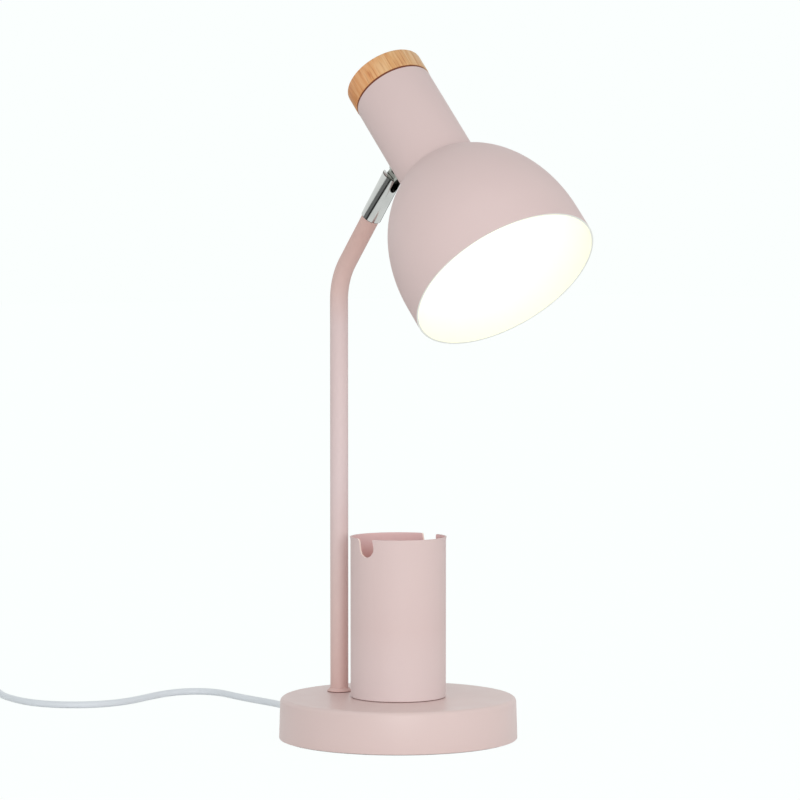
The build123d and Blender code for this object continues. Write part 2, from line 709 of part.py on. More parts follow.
def bulb_form(inset, foot):
    """Globe on a short stem, moved in by a wall, with its foot at a height."""
    middle = HOLDER_MOUTH - BULB_STEM_GAP - BULB_LEN + BULB_D / 2
    radius, stem = BULB_D / 2 - inset, BULB_STEM_D / 2 - inset
    neck_z = HOLDER_MOUTH - BULB_STEM_GAP - BULB_NECK_LEN
    lift = radians(BULB_SHOULDER)
    shoulder = (radius * cos(lift), middle + radius * sin(lift))
    with BuildSketch(Plane.XZ) as outline:
        with BuildLine():
            Line((0, foot), (stem, foot))
            Line((stem, foot), (stem, neck_z))
            Spline((stem, neck_z), shoulder, tangents=[(0, -1), (sin(lift), -cos(lift))])
            CenterArc((0, middle), radius, BULB_SHOULDER, -BULB_SHOULDER - 90)
            Line((0, middle - radius), (0, foot))
        make_face()
    return revolve(outline.sketch, Axis.Z)


def bulb_glass():
    """Hollow globe, open at its foot, where the screw cap closes it."""
    foot = HOLDER_MOUTH - BULB_STEM_GAP
    return one(AT_SHADE * (bulb_form(0, foot) - bulb_form(BULB_WALL, foot + OVER)))


# Leads inside

def inner_lead():
    """From the gland through the base, the nipple and the post to the hinge."""
    start = inside_radius(GLAND_Z) - GLAND_IN - LEAD_GAP
    points = [
        (0, start, GLAND_Z), (0, start - LEAD_TURN, GLAND_Z), (POST_X, POST_Y, LEAD_LEVEL),
        (POST_X, POST_Y, CORNER_Z), tuple(arm_line(ARM_RUN + SLOT_FLOOR - 2)),
    ]
    return tube_along(FilletPolyline(*points, radius=[LEAD_TURN, LEAD_TURN, BEND_R]), LEAD_D)


def head_lead():
    """From the hollow stud up beside the lampholder and into its side."""
    start = REACH - STUD_TIP - LEAD_GAP
    beside = HOLDER_D / 2 + LEAD_D / 2 + HEAD_LEAD_AWAY
    top = HOLDER_TOP - HOLDER_SHOULDER_H - HEAD_LEAD_DROP
    points = [
        (0, start, GRIP_RISE), (0, beside, GRIP_RISE), (0, beside, top), (0, HOLDER_D / 2 + LEAD_GAP, top),
    ]
    reach = min(start - beside, beside - HOLDER_D / 2 - LEAD_GAP) * LEAD_FAIR
    radii = [min(LEAD_TURN_TIGHT, reach)] * 2
    return one(AT_SHADE * tube_along(FilletPolyline(*points, radius=radii), LEAD_D))


# Cord gland

def cord_gland():
    """Moulded bush in the cover's side, with a long tapered sleeve."""
    wall_in, wall_out = inside_radius(GLAND_Z), inside_radius(GLAND_Z) + COVER_WALL
    out = LEAD_ROUTE[0][1]
    bore = CORD_D / 2
    sag = wall_in - sqrt(wall_in**2 - (GLAND_FLANGE_D / 2) ** 2)
    seat_in, seat_out = wall_in - sag - GLAND_SEAT_GAP, wall_out + GLAND_SEAT_GAP
    outline = [
        (0, wall_in - GLAND_IN), (GLAND_FLANGE_D / 2, wall_in - GLAND_IN),
        (GLAND_FLANGE_D / 2, seat_in), (GLAND_HOLE_D / 2 - RUNNING_GAP, seat_in),
        (GLAND_HOLE_D / 2 - RUNNING_GAP, seat_out), (GLAND_ROOT_D / 2, seat_out),
        (GLAND_ROOT_D / 2, wall_out + GLAND_FLANGE_T), (GLAND_TIP_D / 2, out), (0, out),
    ]
    bush = turned(outline)
    tip = bush.edges().filter_by(GeomType.CIRCLE).sort_by(Axis.Z)[-1]
    bush = fillet(tip, (GLAND_TIP_D / 2 - bore) * GLAND_TIP_ROUND)
    return one(Pos(0, 0, GLAND_Z) * Rot(X=-90) * bush)


# Coil of the rest of the cord

COIL_START = Vector(SWITCH_X, SWITCH_Y0 + SWITCH_LEN + COIL_AWAY, TIE_T + CORD_REST)
LINK_ROUTE = [
    (SWITCH_X, SWITCH_Y0 + SWITCH_LEN, SWITCH_CORD_Z),
    (SWITCH_X, SWITCH_Y0 + SWITCH_LEN + 8, SWITCH_CORD_Z),
    (SWITCH_X, COIL_START.Y - 6, COIL_START.Z),
    (SWITCH_X, COIL_START.Y, COIL_START.Z),
]


def half_turn(start, radius, rising):
    """Level half circle, anticlockwise, from its east or west end."""
    way = -1 if rising else 1
    top = start + Vector(way * radius, -way * radius, 0)
    end = start + Vector(2 * way * radius, 0, 0)
    return ThreePointArc(start, top, end), end


def biarc(start, start_way, end, end_way):
    """Two arcs that join two points, each with its given direction."""
    gap = end - start
    u, v = start_way.normalized(), end_way.normalized()
    both = u + v
    a = 2 * (1 - u.dot(v))
    b = 2 * gap.dot(both)
    c = -gap.dot(gap)
    reach = (-b + sqrt(b * b - 4 * a * c)) / (2 * a)
    joint = (start + u * reach + end - v * reach) * 0.5
    first = TangentArc(start, joint, tangent=u)
    return [first, TangentArc(joint, end, tangent=first % 1)]


def coil_path():
    """Unbroken line: in along the lower layer, a climbing half turn, out along the top."""
    edges = [Line(COIL_START, COIL_START + Vector(0, CORD_D, 0))]
    here = edges[0] @ 1
    for k in range(COIL_HALF_TURNS_LOW):
        arc, here = half_turn(here, COIL_R - k * COIL_PITCH / 2, k % 2 == 0)
        edges.append(arc)
    radius = COIL_R - COIL_HALF_TURNS_LOW * COIL_PITCH / 2
    low = here
    mid = low + Vector(radius, -radius, COIL_PITCH / 2)
    high = low + Vector(2 * radius, 0, COIL_PITCH)
    edges += biarc(low, Vector(0, -1, 0), mid, Vector(1, 0, CLIMB_SLOPE))
    edges += biarc(mid, Vector(1, 0, CLIMB_SLOPE), high, Vector(0, 1, 0))
    here = high
    for k in range(COIL_HALF_TURNS_TOP):
        arc, here = half_turn(here, radius + (k + 1) * COIL_PITCH / 2, k % 2 == 0)
        edges.append(arc)
    edges.append(Line(here, here - Vector(0, CORD_D, 0)))
    return Wire(edges)


COIL_PATH = coil_path()
COIL_END = COIL_PATH @ 1


def least_gap(path, turn_length):
    """Least gap of a wound tube to itself, from points along its middle line."""
    count = int(path.length / 2)
    points = [path.position_at(i / count) for i in range(count + 1)]
    apart = int(turn_length / 2)
    best = 1e9
    for i, p in enumerate(points):
        for q in points[i + apart:]:
            best = min(best, (p - q).length)
    return best - CORD_D


def cord_coil():
    coil = tube_along(COIL_PATH, CORD_D)
    ideal = pi * CORD_D**2 / 4 * COIL_PATH.length
    print("coil length", round(COIL_PATH.length, 1), "volume share", round(coil.volume / ideal, 5))
    print("coil least gap to itself", round(least_gap(COIL_PATH, 60), 2))
    return coil


def cord_ties():
    """Two flat bands round the coil's bundle, which it lies on."""
    middle = COIL_START + Vector(-COIL_R, CORD_D, 0)
    inner_r = COIL_R - COIL_HALF_TURNS_LOW * COIL_PITCH / 2 - CORD_D / 2 - CLIMB_ROOM
    outer_r = COIL_R + CORD_D / 2 + TIE_GAP
    top = COIL_START.Z + COIL_PITCH + CORD_D / 2 + TIE_GAP
    bands = []
    for way in (-1, 1):
        y = middle.Y + way * (inner_r + outer_r) / 2
        width, height = outer_r - inner_r, top - TIE_T + TIE_UNDER
        whole = height + 2 * TIE_T - TIE_UNDER
        skin = fillet(Box(TIE_W, width + 2 * TIE_T, whole).edges().filter_by(Axis.X), TIE_CORNER)
        hole = Pos(0, 0, height / 2 + TIE_T - TIE_UNDER) * Box(TIE_W + 2 * OVER, width, height)
        band = Pos(0, 0, whole / 2) * skin - hole
        bands.append(one(Pos(middle.X - COIL_PITCH / 4, y, 0) * band))
    return bands


# Plug, beyond the coil's end

PLUG_CORD = Vector(COIL_END.X, COIL_END.Y - 3 * TAIL_RUN, PLUG_T / 2)
TAIL_ROUTE = [
    tuple(COIL_END),
    (COIL_END.X, COIL_END.Y - TAIL_RUN, COIL_END.Z),
    (COIL_END.X, COIL_END.Y - 2 * TAIL_RUN, PLUG_CORD.Z),
    tuple(PLUG_CORD),
]
AT_PLUG = Pos(*PLUG_CORD) * Rot(X=90)  # Z runs from the sleeve's tip to the pins


def plug_body():
    """Flat two-pin plug with a tapered sleeve."""
    back, face = PLUG_SLEEVE_LEN, PLUG_SLEEVE_LEN + PLUG_LEN
    wide, narrow = PLUG_W / 2, PLUG_BACK_W / 2
    outline = Polyline(
        (narrow, 0, back), (wide, 0, face - PLUG_FACE_LEN), (wide, 0, face), (-wide, 0, face),
        (-wide, 0, face - PLUG_FACE_LEN), (-narrow, 0, back), close=True,
    )
    body = extrude(make_face(outline), PLUG_T / 2, both=True)
    body = fillet(body.edges().filter_by(Axis.Y), PLUG_FILLET)
    flats = body.edges().filter_by(lambda e: abs(e.center().Y) > PLUG_T / 2 - SEAT_GAP)
    body = fillet(flats, PLUG_FILLET / 2)
    root = back + OVER
    body += turned([(0, 0), (PLUG_SLEEVE_TIP_D / 2, 0), (PLUG_SLEEVE_D / 2, root), (0, root)])
    for side in (-1, 1):
        body -= rod(PIN_D, face - PIN_ROOT, face + OVER, side * PIN_SPACING / 2)
    return one(AT_PLUG * body)


def plug_pins():
    """The two round pins, as a group."""
    face = PLUG_SLEEVE_LEN + PLUG_LEN
    pair = []
    for side in (-1, 1):
        pin = rod(PIN_D, face - PIN_ROOT, face + PIN_LEN, side * PIN_SPACING / 2)
        pin = fillet(pin.edges().filter_by(GeomType.CIRCLE).sort_by(Axis.Z)[-1], PIN_TIP)
        pair.append(one(AT_PLUG * pin))
    return pair


# Switch in the cord, in its own frame: Y along the cord, the table at zero

AT_SWITCH = Pos(SWITCH_X, SWITCH_Y0 + SWITCH_LEN / 2, 0)
ROCKER_Z = SWITCH_H - ROCKER_PIVOT_DROP
WINDOW_LEN = ROCKER_LEN + 2 * ROCKER_END_GAP
WINDOW_W = ROCKER_W + 2 * ROCKER_SIDE_GAP


def switch_form():
    """Whole housing: a flat block that narrows to the cord at both ends."""
    half, end = SWITCH_LEN / 2, SWITCH_END_W / 2
    wide, bend = SWITCH_W / 2, SWITCH_LEN / 2 - SWITCH_TAPER
    outline = Polyline(
        (end, half), (wide, bend), (wide, -bend), (end, -half),
        (-end, -half), (-wide, -bend), (-wide, bend), (-end, half), close=True,
    )
    block = extrude(make_face(outline), SWITCH_H)
    block = fillet(block.edges().filter_by(Axis.Z), SWITCH_FILLET)
    top = block.edges().filter_by(lambda e: e.center().Z > SWITCH_H - SEAT_GAP)
    return fillet(top, SWITCH_FILLET)


SCREW_SEAT = SWITCH_SCREW_SINK + SWITCH_SCREW_HEAD_T


def switch_screw_room(shape):
    """The housing less the stepped holes of its two screws."""
    for side in (-1, 1):
        y = side * SWITCH_SCREW_Y
        shape -= rod(SWITCH_SCREW_HEAD_D + SWITCH_SCREW_ROOM, -OVER, SCREW_SEAT, 0, y)
        shape -= rod(SWITCH_SCREW_D, -OVER, SCREW_SEAT + SWITCH_SCREW_LEN, 0, y)
    return shape


def switch_layer(start, end):
    """The housing between two heights."""
    middle, width = (start + end) / 2, 2 * SWITCH_LEN
    return switch_form() & (Pos(0, 0, middle) * Box(width, width, end - start))


def switch_base():
    return one(AT_SWITCH * switch_screw_room(switch_layer(0, SWITCH_SPLIT)))


def switch_cover():
    upper = switch_layer(SWITCH_SPLIT, SWITCH_H)
    upper -= Pos(0, 0, SWITCH_H) * Box(WINDOW_W, WINDOW_LEN, 2 * (SWITCH_H - SWITCH_SPLIT))
    pins = ROCKER_W + 2 * ROCKER_PIN_LEN + 2 * HOLE_PLAY
    upper -= Pos(0, 0, ROCKER_Z) * Rot(Y=90) * Cylinder(ROCKER_PIN_D / 2 + RUNNING_GAP, pins)
    return one(AT_SWITCH * switch_screw_room(upper))


def switch_rocker():
    """Rocker with a ridged top, on two moulded pivot pins, pressed down at the near end."""
    half, drop = ROCKER_LEN / 2, ROCKER_DROP
    fall = half * tan(radians(ROCKER_TILT))
    outline = Polyline(
        (0, half, -drop * ROCKER_SIDE), (0, half, ROCKER_RISE - fall), (0, 0, ROCKER_RISE),
        (0, -half, ROCKER_RISE - fall), (0, -half, -drop * ROCKER_SIDE), (0, -half * ROCKER_FLAT, -drop),
        (0, half * ROCKER_FLAT, -drop), close=True,
    )
    body = extrude(make_face(outline), ROCKER_W / 2, both=True)
    top = body.edges().filter_by(lambda e: e.center().Z > ROCKER_RISE - fall - SEAT_GAP)
    body = fillet(top, ROCKER_EDGE)
    body += Rot(Y=90) * Cylinder(ROCKER_PIN_D / 2, ROCKER_W + 2 * ROCKER_PIN_LEN)
    return one(AT_SWITCH * Pos(0, 0, ROCKER_Z) * Rot(X=ROCKER_TILT) * body)


def switch_screws():
    """The two screws that hold the halves together, from below."""
    pair = []
    cross = driver_cross(SWITCH_SCREW_CROSS, SWITCH_CROSS_W, SWITCH_CROSS_DEPTH)
    for side in (-1, 1):
        y = side * SWITCH_SCREW_Y
        screw = rod(SWITCH_SCREW_HEAD_D, SWITCH_SCREW_SINK, SCREW_SEAT, 0, y)
        screw += rod(SWITCH_SCREW_D, SCREW_SEAT, SCREW_SEAT + SWITCH_SCREW_LEN - HOLE_PLAY, 0, y)
        screw -= Pos(0, y, SWITCH_SCREW_SINK) * cross
        pair.append(one(AT_SWITCH * screw))
    return pair


def main():
    os.makedirs("parts", exist_ok=True)
    step("base_cover", base_cover())
    step("base_weight", base_weight())
    step("base_plate", base_plate())
    step("base_pad", base_pad())
    step("post_tube", post_tube())
    step("post_collar", post_collar())
    step("post_nipple", post_nipple())
    step("post_washer", post_washer())
    step("post_nut", post_nut())
    step("pen_cup", pen_cup())
    step("cup_screw", cup_screw())
    step("cup_nut", cup_nut())
    step("hinge_barrel", hinge_barrel())
    step("hinge_screw", hinge_screw())
    step("hinge_washers", *hinge_washers())
    step("hinge_tongue", hinge_tongue())
    step("saddle_washer", saddle_washer())
    step("stud_nut", stud_nut())
    step("shade", shade())
    step("wood_cap", wood_cap())
    step("cap_screws", *cap_screws())
    step("lampholder", lampholder())
    step("holder_nut", holder_nut())
    step("bulb_cap", bulb_cap())
    step("bulb_glass", bulb_glass())
    step("inner_lead", inner_lead())
    step("head_lead", head_lead())
    step("cord_gland", cord_gland())
    step("cord_lead", cord_tube("cord_lead", LEAD_ROUTE))
    step("cord_link", cord_tube("cord_link", LINK_ROUTE))
    step("cord_coil", cord_coil())
    step("cord_tail", cord_tube("cord_tail", TAIL_ROUTE))
    step("cord_ties", *cord_ties())
    step("plug_body", plug_body())
    step("plug_pins", *plug_pins())
    step("switch_base", switch_base())
    step("switch_cover", switch_cover())
    step("switch_rocker", switch_rocker())
    step("switch_screws", *switch_screws())
    print("pivot", [round(v, 2) for v in PIVOT])


main()
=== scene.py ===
import json
from math import acos, cos, pi, radians, sin, sqrt, tan

import bmesh
import bpy
from mathutils import Matrix, Vector

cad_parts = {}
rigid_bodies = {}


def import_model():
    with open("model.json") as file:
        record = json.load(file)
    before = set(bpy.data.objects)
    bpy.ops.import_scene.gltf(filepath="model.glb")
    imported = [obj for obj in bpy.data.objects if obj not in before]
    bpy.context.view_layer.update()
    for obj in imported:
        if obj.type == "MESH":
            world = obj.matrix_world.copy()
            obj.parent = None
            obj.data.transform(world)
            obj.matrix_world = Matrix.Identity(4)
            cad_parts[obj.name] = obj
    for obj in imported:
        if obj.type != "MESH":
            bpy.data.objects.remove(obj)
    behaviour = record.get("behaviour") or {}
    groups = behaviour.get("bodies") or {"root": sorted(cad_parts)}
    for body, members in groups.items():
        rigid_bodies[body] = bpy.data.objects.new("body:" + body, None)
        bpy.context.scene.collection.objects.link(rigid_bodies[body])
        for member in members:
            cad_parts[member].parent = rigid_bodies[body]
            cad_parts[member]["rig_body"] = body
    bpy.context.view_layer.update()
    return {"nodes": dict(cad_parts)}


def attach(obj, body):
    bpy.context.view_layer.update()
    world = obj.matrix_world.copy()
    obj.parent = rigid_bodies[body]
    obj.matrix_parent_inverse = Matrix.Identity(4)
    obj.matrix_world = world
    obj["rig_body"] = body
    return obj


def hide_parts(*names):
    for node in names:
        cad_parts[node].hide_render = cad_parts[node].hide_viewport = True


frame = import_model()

# A desk lamp with a pen holder, dressed over its CAD model. Metres, +Z up, the shade faces -Y.

MM = 0.001
SAME_PLACE = 1e-6

# Sizes that the pieces share with the solids
BASE_R = 0.080
BASE_TOP_R = 0.07915
BASE_H = 0.028
BASE_LIFT = 0.0004
SHOULDER_R = 0.003
COVER_WALL = 0.0012
POST_X = -0.013
POST_Y = 0.046
TUBE_R = 0.0061
CORNER_Z = 0.3082
BEND_R = 0.040
ARM_LEAN = radians(39.0)
ARM_RUN = 0.0529
COLLAR_R = 0.0082
COLLAR_EDGE = 0.0008
COLLAR_CONE = 0.0018
BARREL_R = 0.007
BARREL_LEN = 0.0356
BARREL_EDGE_R = 0.0004
SLOT_W = 0.006
SLOT_DEPTH = 0.0093
PIVOT_IN = 0.0033
SCREW_SEAT_R = 0.0033
CUP_R = 0.032
CUP_H = 0.1078
CUP_WALL = 0.0012
CUP_LIP = 0.00045
CUP_LIP_H = 0.002
CUP_FOOT_R = 0.001
CUP_TURN = radians(5.5)
NOTCH_W = 0.0120
NOTCH_DEPTH = 0.012
NOTCH_SLANT = radians(11.0)
NOTCH_SHIFT = 0.0002
NOTCH_CORNER = 0.0012
TILT = radians(41.8)
NECK_R = 0.0267
NECK_LEN = 0.0696
DOME_R = 0.0632
DOME_AXIS = 0.0826
DOME_DROP = DOME_AXIS * sqrt(1 - (NECK_R / DOME_R) ** 2)
SKIRT_H = 0.0185
SHADE_WALL = 0.0012
SHADE_RIM = -DOME_DROP - SKIRT_H
REACH = 0.0398
GRIP_RISE = 0.030
CAP_R = 0.02695
CAP_H = 0.0156
CAP_EDGE_R = 0.0012
HOLDER_LEN = 0.048
BULB_R = 0.0225
BULB_LEN = 0.057
BULB_STEM_R = 0.0085
BULB_GAP = 0.0005
CORD_D = 0.0048

# Sizes of the pieces' own, mostly widths of rounded edges, a little off the solids or not in them
SHOULDER_LAND = 0.004
COVER_EDGE_R = 0.0006
COVER_RETURN = 0.003
COLLAR_TOP_R = 0.0065
CREASE_W = 0.0019
CAP_SEAM_H = 0.0013
CAP_SEAM_IN = 0.0005
FOOT_LINE = 0.0005
CUT_EDGE_R = 0.0005
SMALL_EDGE_R = 0.00025
NECK_EDGE_R = 0.0003
BARREL_CUT_EDGE = 0.00015
SCREW_SEAT_IN = 0.0001
GLOBE_CUT = radians(40.0)
STEM_CURVE = ((0.0035, 0.0135), (0.0075, 0.0107))
STEM_TOP = (0.0105, 0.0091)

# Cutters, which reach past what they cut
NOTCH_CUT_H = 0.04
NOTCH_CUT_LEN = 0.12
CORNER_CUT_LEN = 0.14
SLOT_CUT_H = 0.02
SLOT_CUT_LEN = 0.03
SCREW_CUT_LEN = 0.004

# Degrees between faces from which an edge stays a hard line
HARD_ANGLE = 35.0
SOLID_HARD_ANGLE = 30.0


def arm_point(distance):
    """Point on the arm's straight part, at a distance beyond the corner."""
    rise = CORNER_Z + distance * cos(ARM_LEAN)
    return Vector((POST_X, POST_Y - distance * sin(ARM_LEAN), rise))


# The barrel's frame starts at the arm's end, its +Z out along the arm. The shade's frame starts
# at the middle of the crease, its +Z towards the cap.
PIVOT = arm_point(ARM_RUN + BARREL_LEN - PIVOT_IN)
AT_BARREL = Matrix.Translation(arm_point(ARM_RUN)) @ Matrix.Rotation(ARM_LEAN, 4, "X")
HANG = Matrix.Translation((0, -REACH, -GRIP_RISE))
AT_SHADE = Matrix.Translation(PIVOT) @ Matrix.Rotation(-TILT, 4, "X") @ HANG


def placed(name, data):
    """New object in the scene."""
    thing = bpy.data.objects.new(name, data)
    bpy.context.scene.collection.objects.link(thing)
    return thing


# Camera

LENS = 154.935
SENSOR_W = 36.0
CAMERA_PLACE = (-1.50807, -1.73664, 0.338)
LOOK_DOWN = 2.756
LOOK_ROUND = -41.0


def place_camera():
    """Camera at the photograph's angle and distance."""
    data = bpy.data.cameras.new("camera")
    data.sensor_width = SENSOR_W
    data.lens = LENS
    data.clip_end = 50.0
    camera = placed("camera", data)
    camera.location = CAMERA_PLACE
    camera.rotation_euler = (radians(90.0 - LOOK_DOWN), 0.0, radians(LOOK_ROUND))
    bpy.context.scene.camera = camera


place_camera()


# Cord: one line from the base through the switch and the coil to the plug, in millimetres

GLAND_Z = 9.0
CORD_REST = 2.4
SWITCH_X = -87.5
SWITCH_Y = 366.0
SWITCH_LEN = 58.0
SWITCH_END = SWITCH_Y + SWITCH_LEN
SWITCH_CORD_Z = 7.5
LEAD_ROUTE = [
    (0, 100, GLAND_Z), (0, 109, GLAND_Z), (3, 120, GLAND_Z - 2.6), (10, 130.5, CORD_REST + 0.6),
    (20, 140.5, CORD_REST), (29, 153, CORD_REST), (33, 168, CORD_REST), (34, 184, CORD_REST),
    (34.5, 199, CORD_REST), (35.5, 216, CORD_REST), (38, 232, CORD_REST), (39.5, 247, CORD_REST),
    (34, 260, CORD_REST),
    (22, 267.5, CORD_REST), (7.5, 267.5, CORD_REST), (-12, 261.5, CORD_REST), (-33, 253, CORD_REST),
    (-54, 249.5, CORD_REST), (-73.5, 255.5, CORD_REST), (-88, 269, CORD_REST),
    (-95.5, 287, CORD_REST), (-96, 306, CORD_REST), (-92.8, 324, CORD_REST),
    (-88.8, 339, CORD_REST), (SWITCH_X, 352.5, SWITCH_CORD_Z), (SWITCH_X, SWITCH_Y, SWITCH_CORD_Z),
]
COIL_Z = 3.2
COIL_Y = SWITCH_END + 26.0
LINK_ROUTE = [
    (SWITCH_X, SWITCH_END, SWITCH_CORD_Z), (SWITCH_X, SWITCH_END + 8, SWITCH_CORD_Z),
    (SWITCH_X, COIL_Y - 6, COIL_Z), (SWITCH_X, COIL_Y, COIL_Z),
]
COIL_R = 37.0
COIL_PITCH = 5.25
HALF_TURNS_LOW = 7
HALF_TURNS_TOP = 5
POINTS_PER_HALF_TURN = 9
TAIL_RUN = 18.0
PLUG_Z = 6.9
STEPS_PER_POINT = 5


def half_turn(start, radius, east, climb=0.0):
    """Control points of a level half circle, or of one that climbs a layer."""
    way = 1 if east else -1
    centre = Vector((start.x - way * radius, start.y, start.z))
    slice_angle = pi / POINTS_PER_HALF_TURN
    reach = radius / cos(slice_angle / 2)
    points = []
    for i in range(POINTS_PER_HALF_TURN):
        angle = (i + 0.5) * slice_angle
        rise = climb * (1 - cos(angle)) / 2
        points.append(centre + Vector((way * reach * cos(angle), way * reach * sin(angle), rise)))
    return points, Vector((start.x - 2 * way * radius, start.y, start.z + climb))


def coil_points():
    """Control points of the coil, in along the lower layer and out along the top one."""
    here = Vector((SWITCH_X, COIL_Y + CORD_D / MM, COIL_Z))
    turns = [(COIL_R - k * COIL_PITCH / 2, 0.0) for k in range(HALF_TURNS_LOW)]
    inner = COIL_R - HALF_TURNS_LOW * COIL_PITCH / 2
    turns.append((inner, COIL_PITCH))
    turns += [(inner + (k + 1) * COIL_PITCH / 2, 0.0) for k in range(HALF_TURNS_TOP)]
    points = []
    for k, (radius, climb) in enumerate(turns):
        more, here = half_turn(here, radius, k % 2 == 0, climb)
        points += more
    return [tuple(p) for p in points], here


def cord_points():
    """Control points of the whole cord, from the grommet to the plug."""
    coil, end = coil_points()
    leave = end.y - CORD_D / MM
    tail = [
        (end.x, leave, end.z), (end.x, leave - TAIL_RUN, end.z),
        (end.x, leave - 2 * TAIL_RUN, PLUG_Z), (end.x, leave - 3 * TAIL_RUN, PLUG_Z),
    ]
    middle = (SWITCH_X, SWITCH_Y + SWITCH_LEN / 2, SWITCH_CORD_Z)
    return LEAD_ROUTE + [middle] + LINK_ROUTE + coil + tail


def draw_cord():
    """Smooth round curve through the cord's route."""
    curve = bpy.data.curves.new("cord", "CURVE")
    curve.dimensions = "3D"
    curve.resolution_u = STEPS_PER_POINT
    curve.bevel_depth = CORD_D / 2
    curve.bevel_resolution = STEPS_PER_POINT
    curve.use_fill_caps = True
    line = curve.splines.new("NURBS")
    points = cord_points()
    line.points.add(len(points) - 1)
    for point, (x, y, z) in zip(line.points, points):
        point.co = (x * MM, y * MM, z * MM, 1.0)
    line.order_u = 3
    line.use_endpoint_u = True
    return placed("cord", curve)


cord = draw_cord()


# Materials. Tones are display colours from 0 to 255, noise scales are per metre.

COAT_CLOUDS = 7.0
COAT_GLOSS = 40.0
COAT_GRAIN = 2400.0
COAT_GRAIN_DEPTH = 0.00004
PLATE_CLOUDS = 90.0
PLATE_GLOSS = 160.0
MOULD_CLOUDS = 35.0
MOULD_GLOSS = 120.0
MATT = (0.50, 0.60)
SATIN = (0.34, 0.42)
# Direction and reach across the wooden cap of its painted sheen, cooler towards the camera's right.
ORANGE_SIDE = radians(-41.0)
ORANGE_REACH = 0.027
WHITE = (255, 255, 255)
BULB_LEVEL = 3.0
MOUTH_FADE = 0.250


def shade_of(red, green, blue):
    """Linear colour of a display colour."""
    values = []
    for value in (red, green, blue):
        v = value / 255
        values.append(v / 12.92 if v <= 0.04045 else ((v + 0.055) / 1.055) ** 2.4)
    return (*values, 1.0)


def darker(tone, step):
    return tuple(v - step for v in tone)


def feed(links, socket, value):
    """What goes into a socket: another socket, or a number or colour."""
    if isinstance(value, bpy.types.NodeSocket):
        links.new(value, socket)
    else:
        socket.default_value = value


class Finish:
    """A node material that starts from the piece's own coordinates."""

    def __init__(self, name, roughness=0.5, metallic=0.0):
        self.material = bpy.data.materials.new(name)
        self.material.use_nodes = True
        self.nodes = self.material.node_tree.nodes
        self.links = self.material.node_tree.links
        self.shader = self.nodes["Principled BSDF"]
        self.shader.inputs["Roughness"].default_value = roughness
        self.shader.inputs["Metallic"].default_value = metallic
        self.place = self.nodes.new("ShaderNodeTexCoord").outputs["Object"]

    def mapped(self, location, rotation, scale=(1, 1, 1)):
        """Coordinates turned and moved into a piece's own frame, then stretched."""
        turn = self.nodes.new("ShaderNodeMapping")
        turn.vector_type = "TEXTURE"
        turn.inputs["Location"].default_value = location
        turn.inputs["Rotation"].default_value = rotation
        self.links.new(self.place, turn.inputs["Vector"])
        stretch = self.nodes.new("ShaderNodeMapping")
        stretch.inputs["Scale"].default_value = scale
        self.links.new(turn.outputs["Vector"], stretch.inputs["Vector"])
        return stretch.outputs["Vector"]

    def along(self, axis, where=None):
        """One coordinate of the place."""
        node = self.nodes.new("ShaderNodeSeparateXYZ")
        self.links.new(where or self.place, node.inputs[0])
        return node.outputs[axis]

    def noise(self, scale, detail=2.0, rough=0.5, where=None, distortion=0.0):
        node = self.nodes.new("ShaderNodeTexNoise")
        node.inputs["Scale"].default_value = scale
        node.inputs["Detail"].default_value = detail
        node.inputs["Roughness"].default_value = rough
        node.inputs["Distortion"].default_value = distortion
        self.links.new(where or self.place, node.inputs["Vector"])
        return node.outputs["Fac"]

    def ramp(self, source, stops):
        """Tones along a value: a list of (position, tone)."""
        node = self.nodes.new("ShaderNodeValToRGB")
        ramp = node.color_ramp
        while len(ramp.elements) < len(stops):
            ramp.elements.new(0.5)
        for element, (position, tone) in zip(ramp.elements, stops):
            element.position = position
            element.color = shade_of(*tone)
        self.links.new(source, node.inputs["Fac"])
        return node.outputs["Color"]

    def drift(self, scale, detail, dark, light):
        """Two tones that drift into each other."""
        return self.ramp(self.noise(scale, detail), [(0.3, dark), (0.7, light)])

    def mix(self, share, first, second, blend="MIX"):
        node = self.nodes.new("ShaderNodeMix")
        node.data_type = "RGBA"
        node.blend_type = blend
        for name, value in (("Factor", share), ("A", first), ("B", second)):
            feed(self.links, node.inputs[name], value)
        return node.outputs["Result"]

    def spread(self, source, low, high, start=0.3, end=0.7):
        """A value moved into a range."""
        node = self.nodes.new("ShaderNodeMapRange")
        node.inputs["From Min"].default_value = start
        node.inputs["From Max"].default_value = end
        node.inputs["To Min"].default_value = low
        node.inputs["To Max"].default_value = high
        self.links.new(source, node.inputs["Value"])
        return node.outputs["Result"]

    def colour(self, source):
        self.links.new(source, self.shader.inputs["Base Color"])

    def lit(self, tone, strength):
        """The same tone as paint and as light."""
        self.colour(tone)
        self.links.new(tone, self.shader.inputs["Emission Color"])
        self.shader.inputs["Emission Strength"].default_value = strength

    def bump(self, source, depth, strength):
        node = self.nodes.new("ShaderNodeBump")
        node.inputs["Strength"].default_value = strength
        node.inputs["Distance"].default_value = depth
        self.links.new(source, node.inputs["Height"])
        self.links.new(node.outputs["Normal"], self.shader.inputs["Normal"])

    def coat_grain(self, strength):
        self.bump(self.noise(COAT_GRAIN, 2.0), COAT_GRAIN_DEPTH, strength)

    def rough(self, low, high, scale):
        self.links.new(self.spread(self.noise(scale), low, high), self.shader.inputs["Roughness"])


def powder_coat(name, tone, drift, gloss=MATT):
    """Matt or satin paint: slow drift in tone and a fine even grain."""
    finish = Finish(name)
    light = tuple(min(v + drift, 255) for v in tone)
    finish.colour(finish.drift(COAT_CLOUDS, 3.0, darker(tone, drift), light))
    finish.rough(*gloss, COAT_GLOSS)
    finish.coat_grain(0.35)
    return finish.material


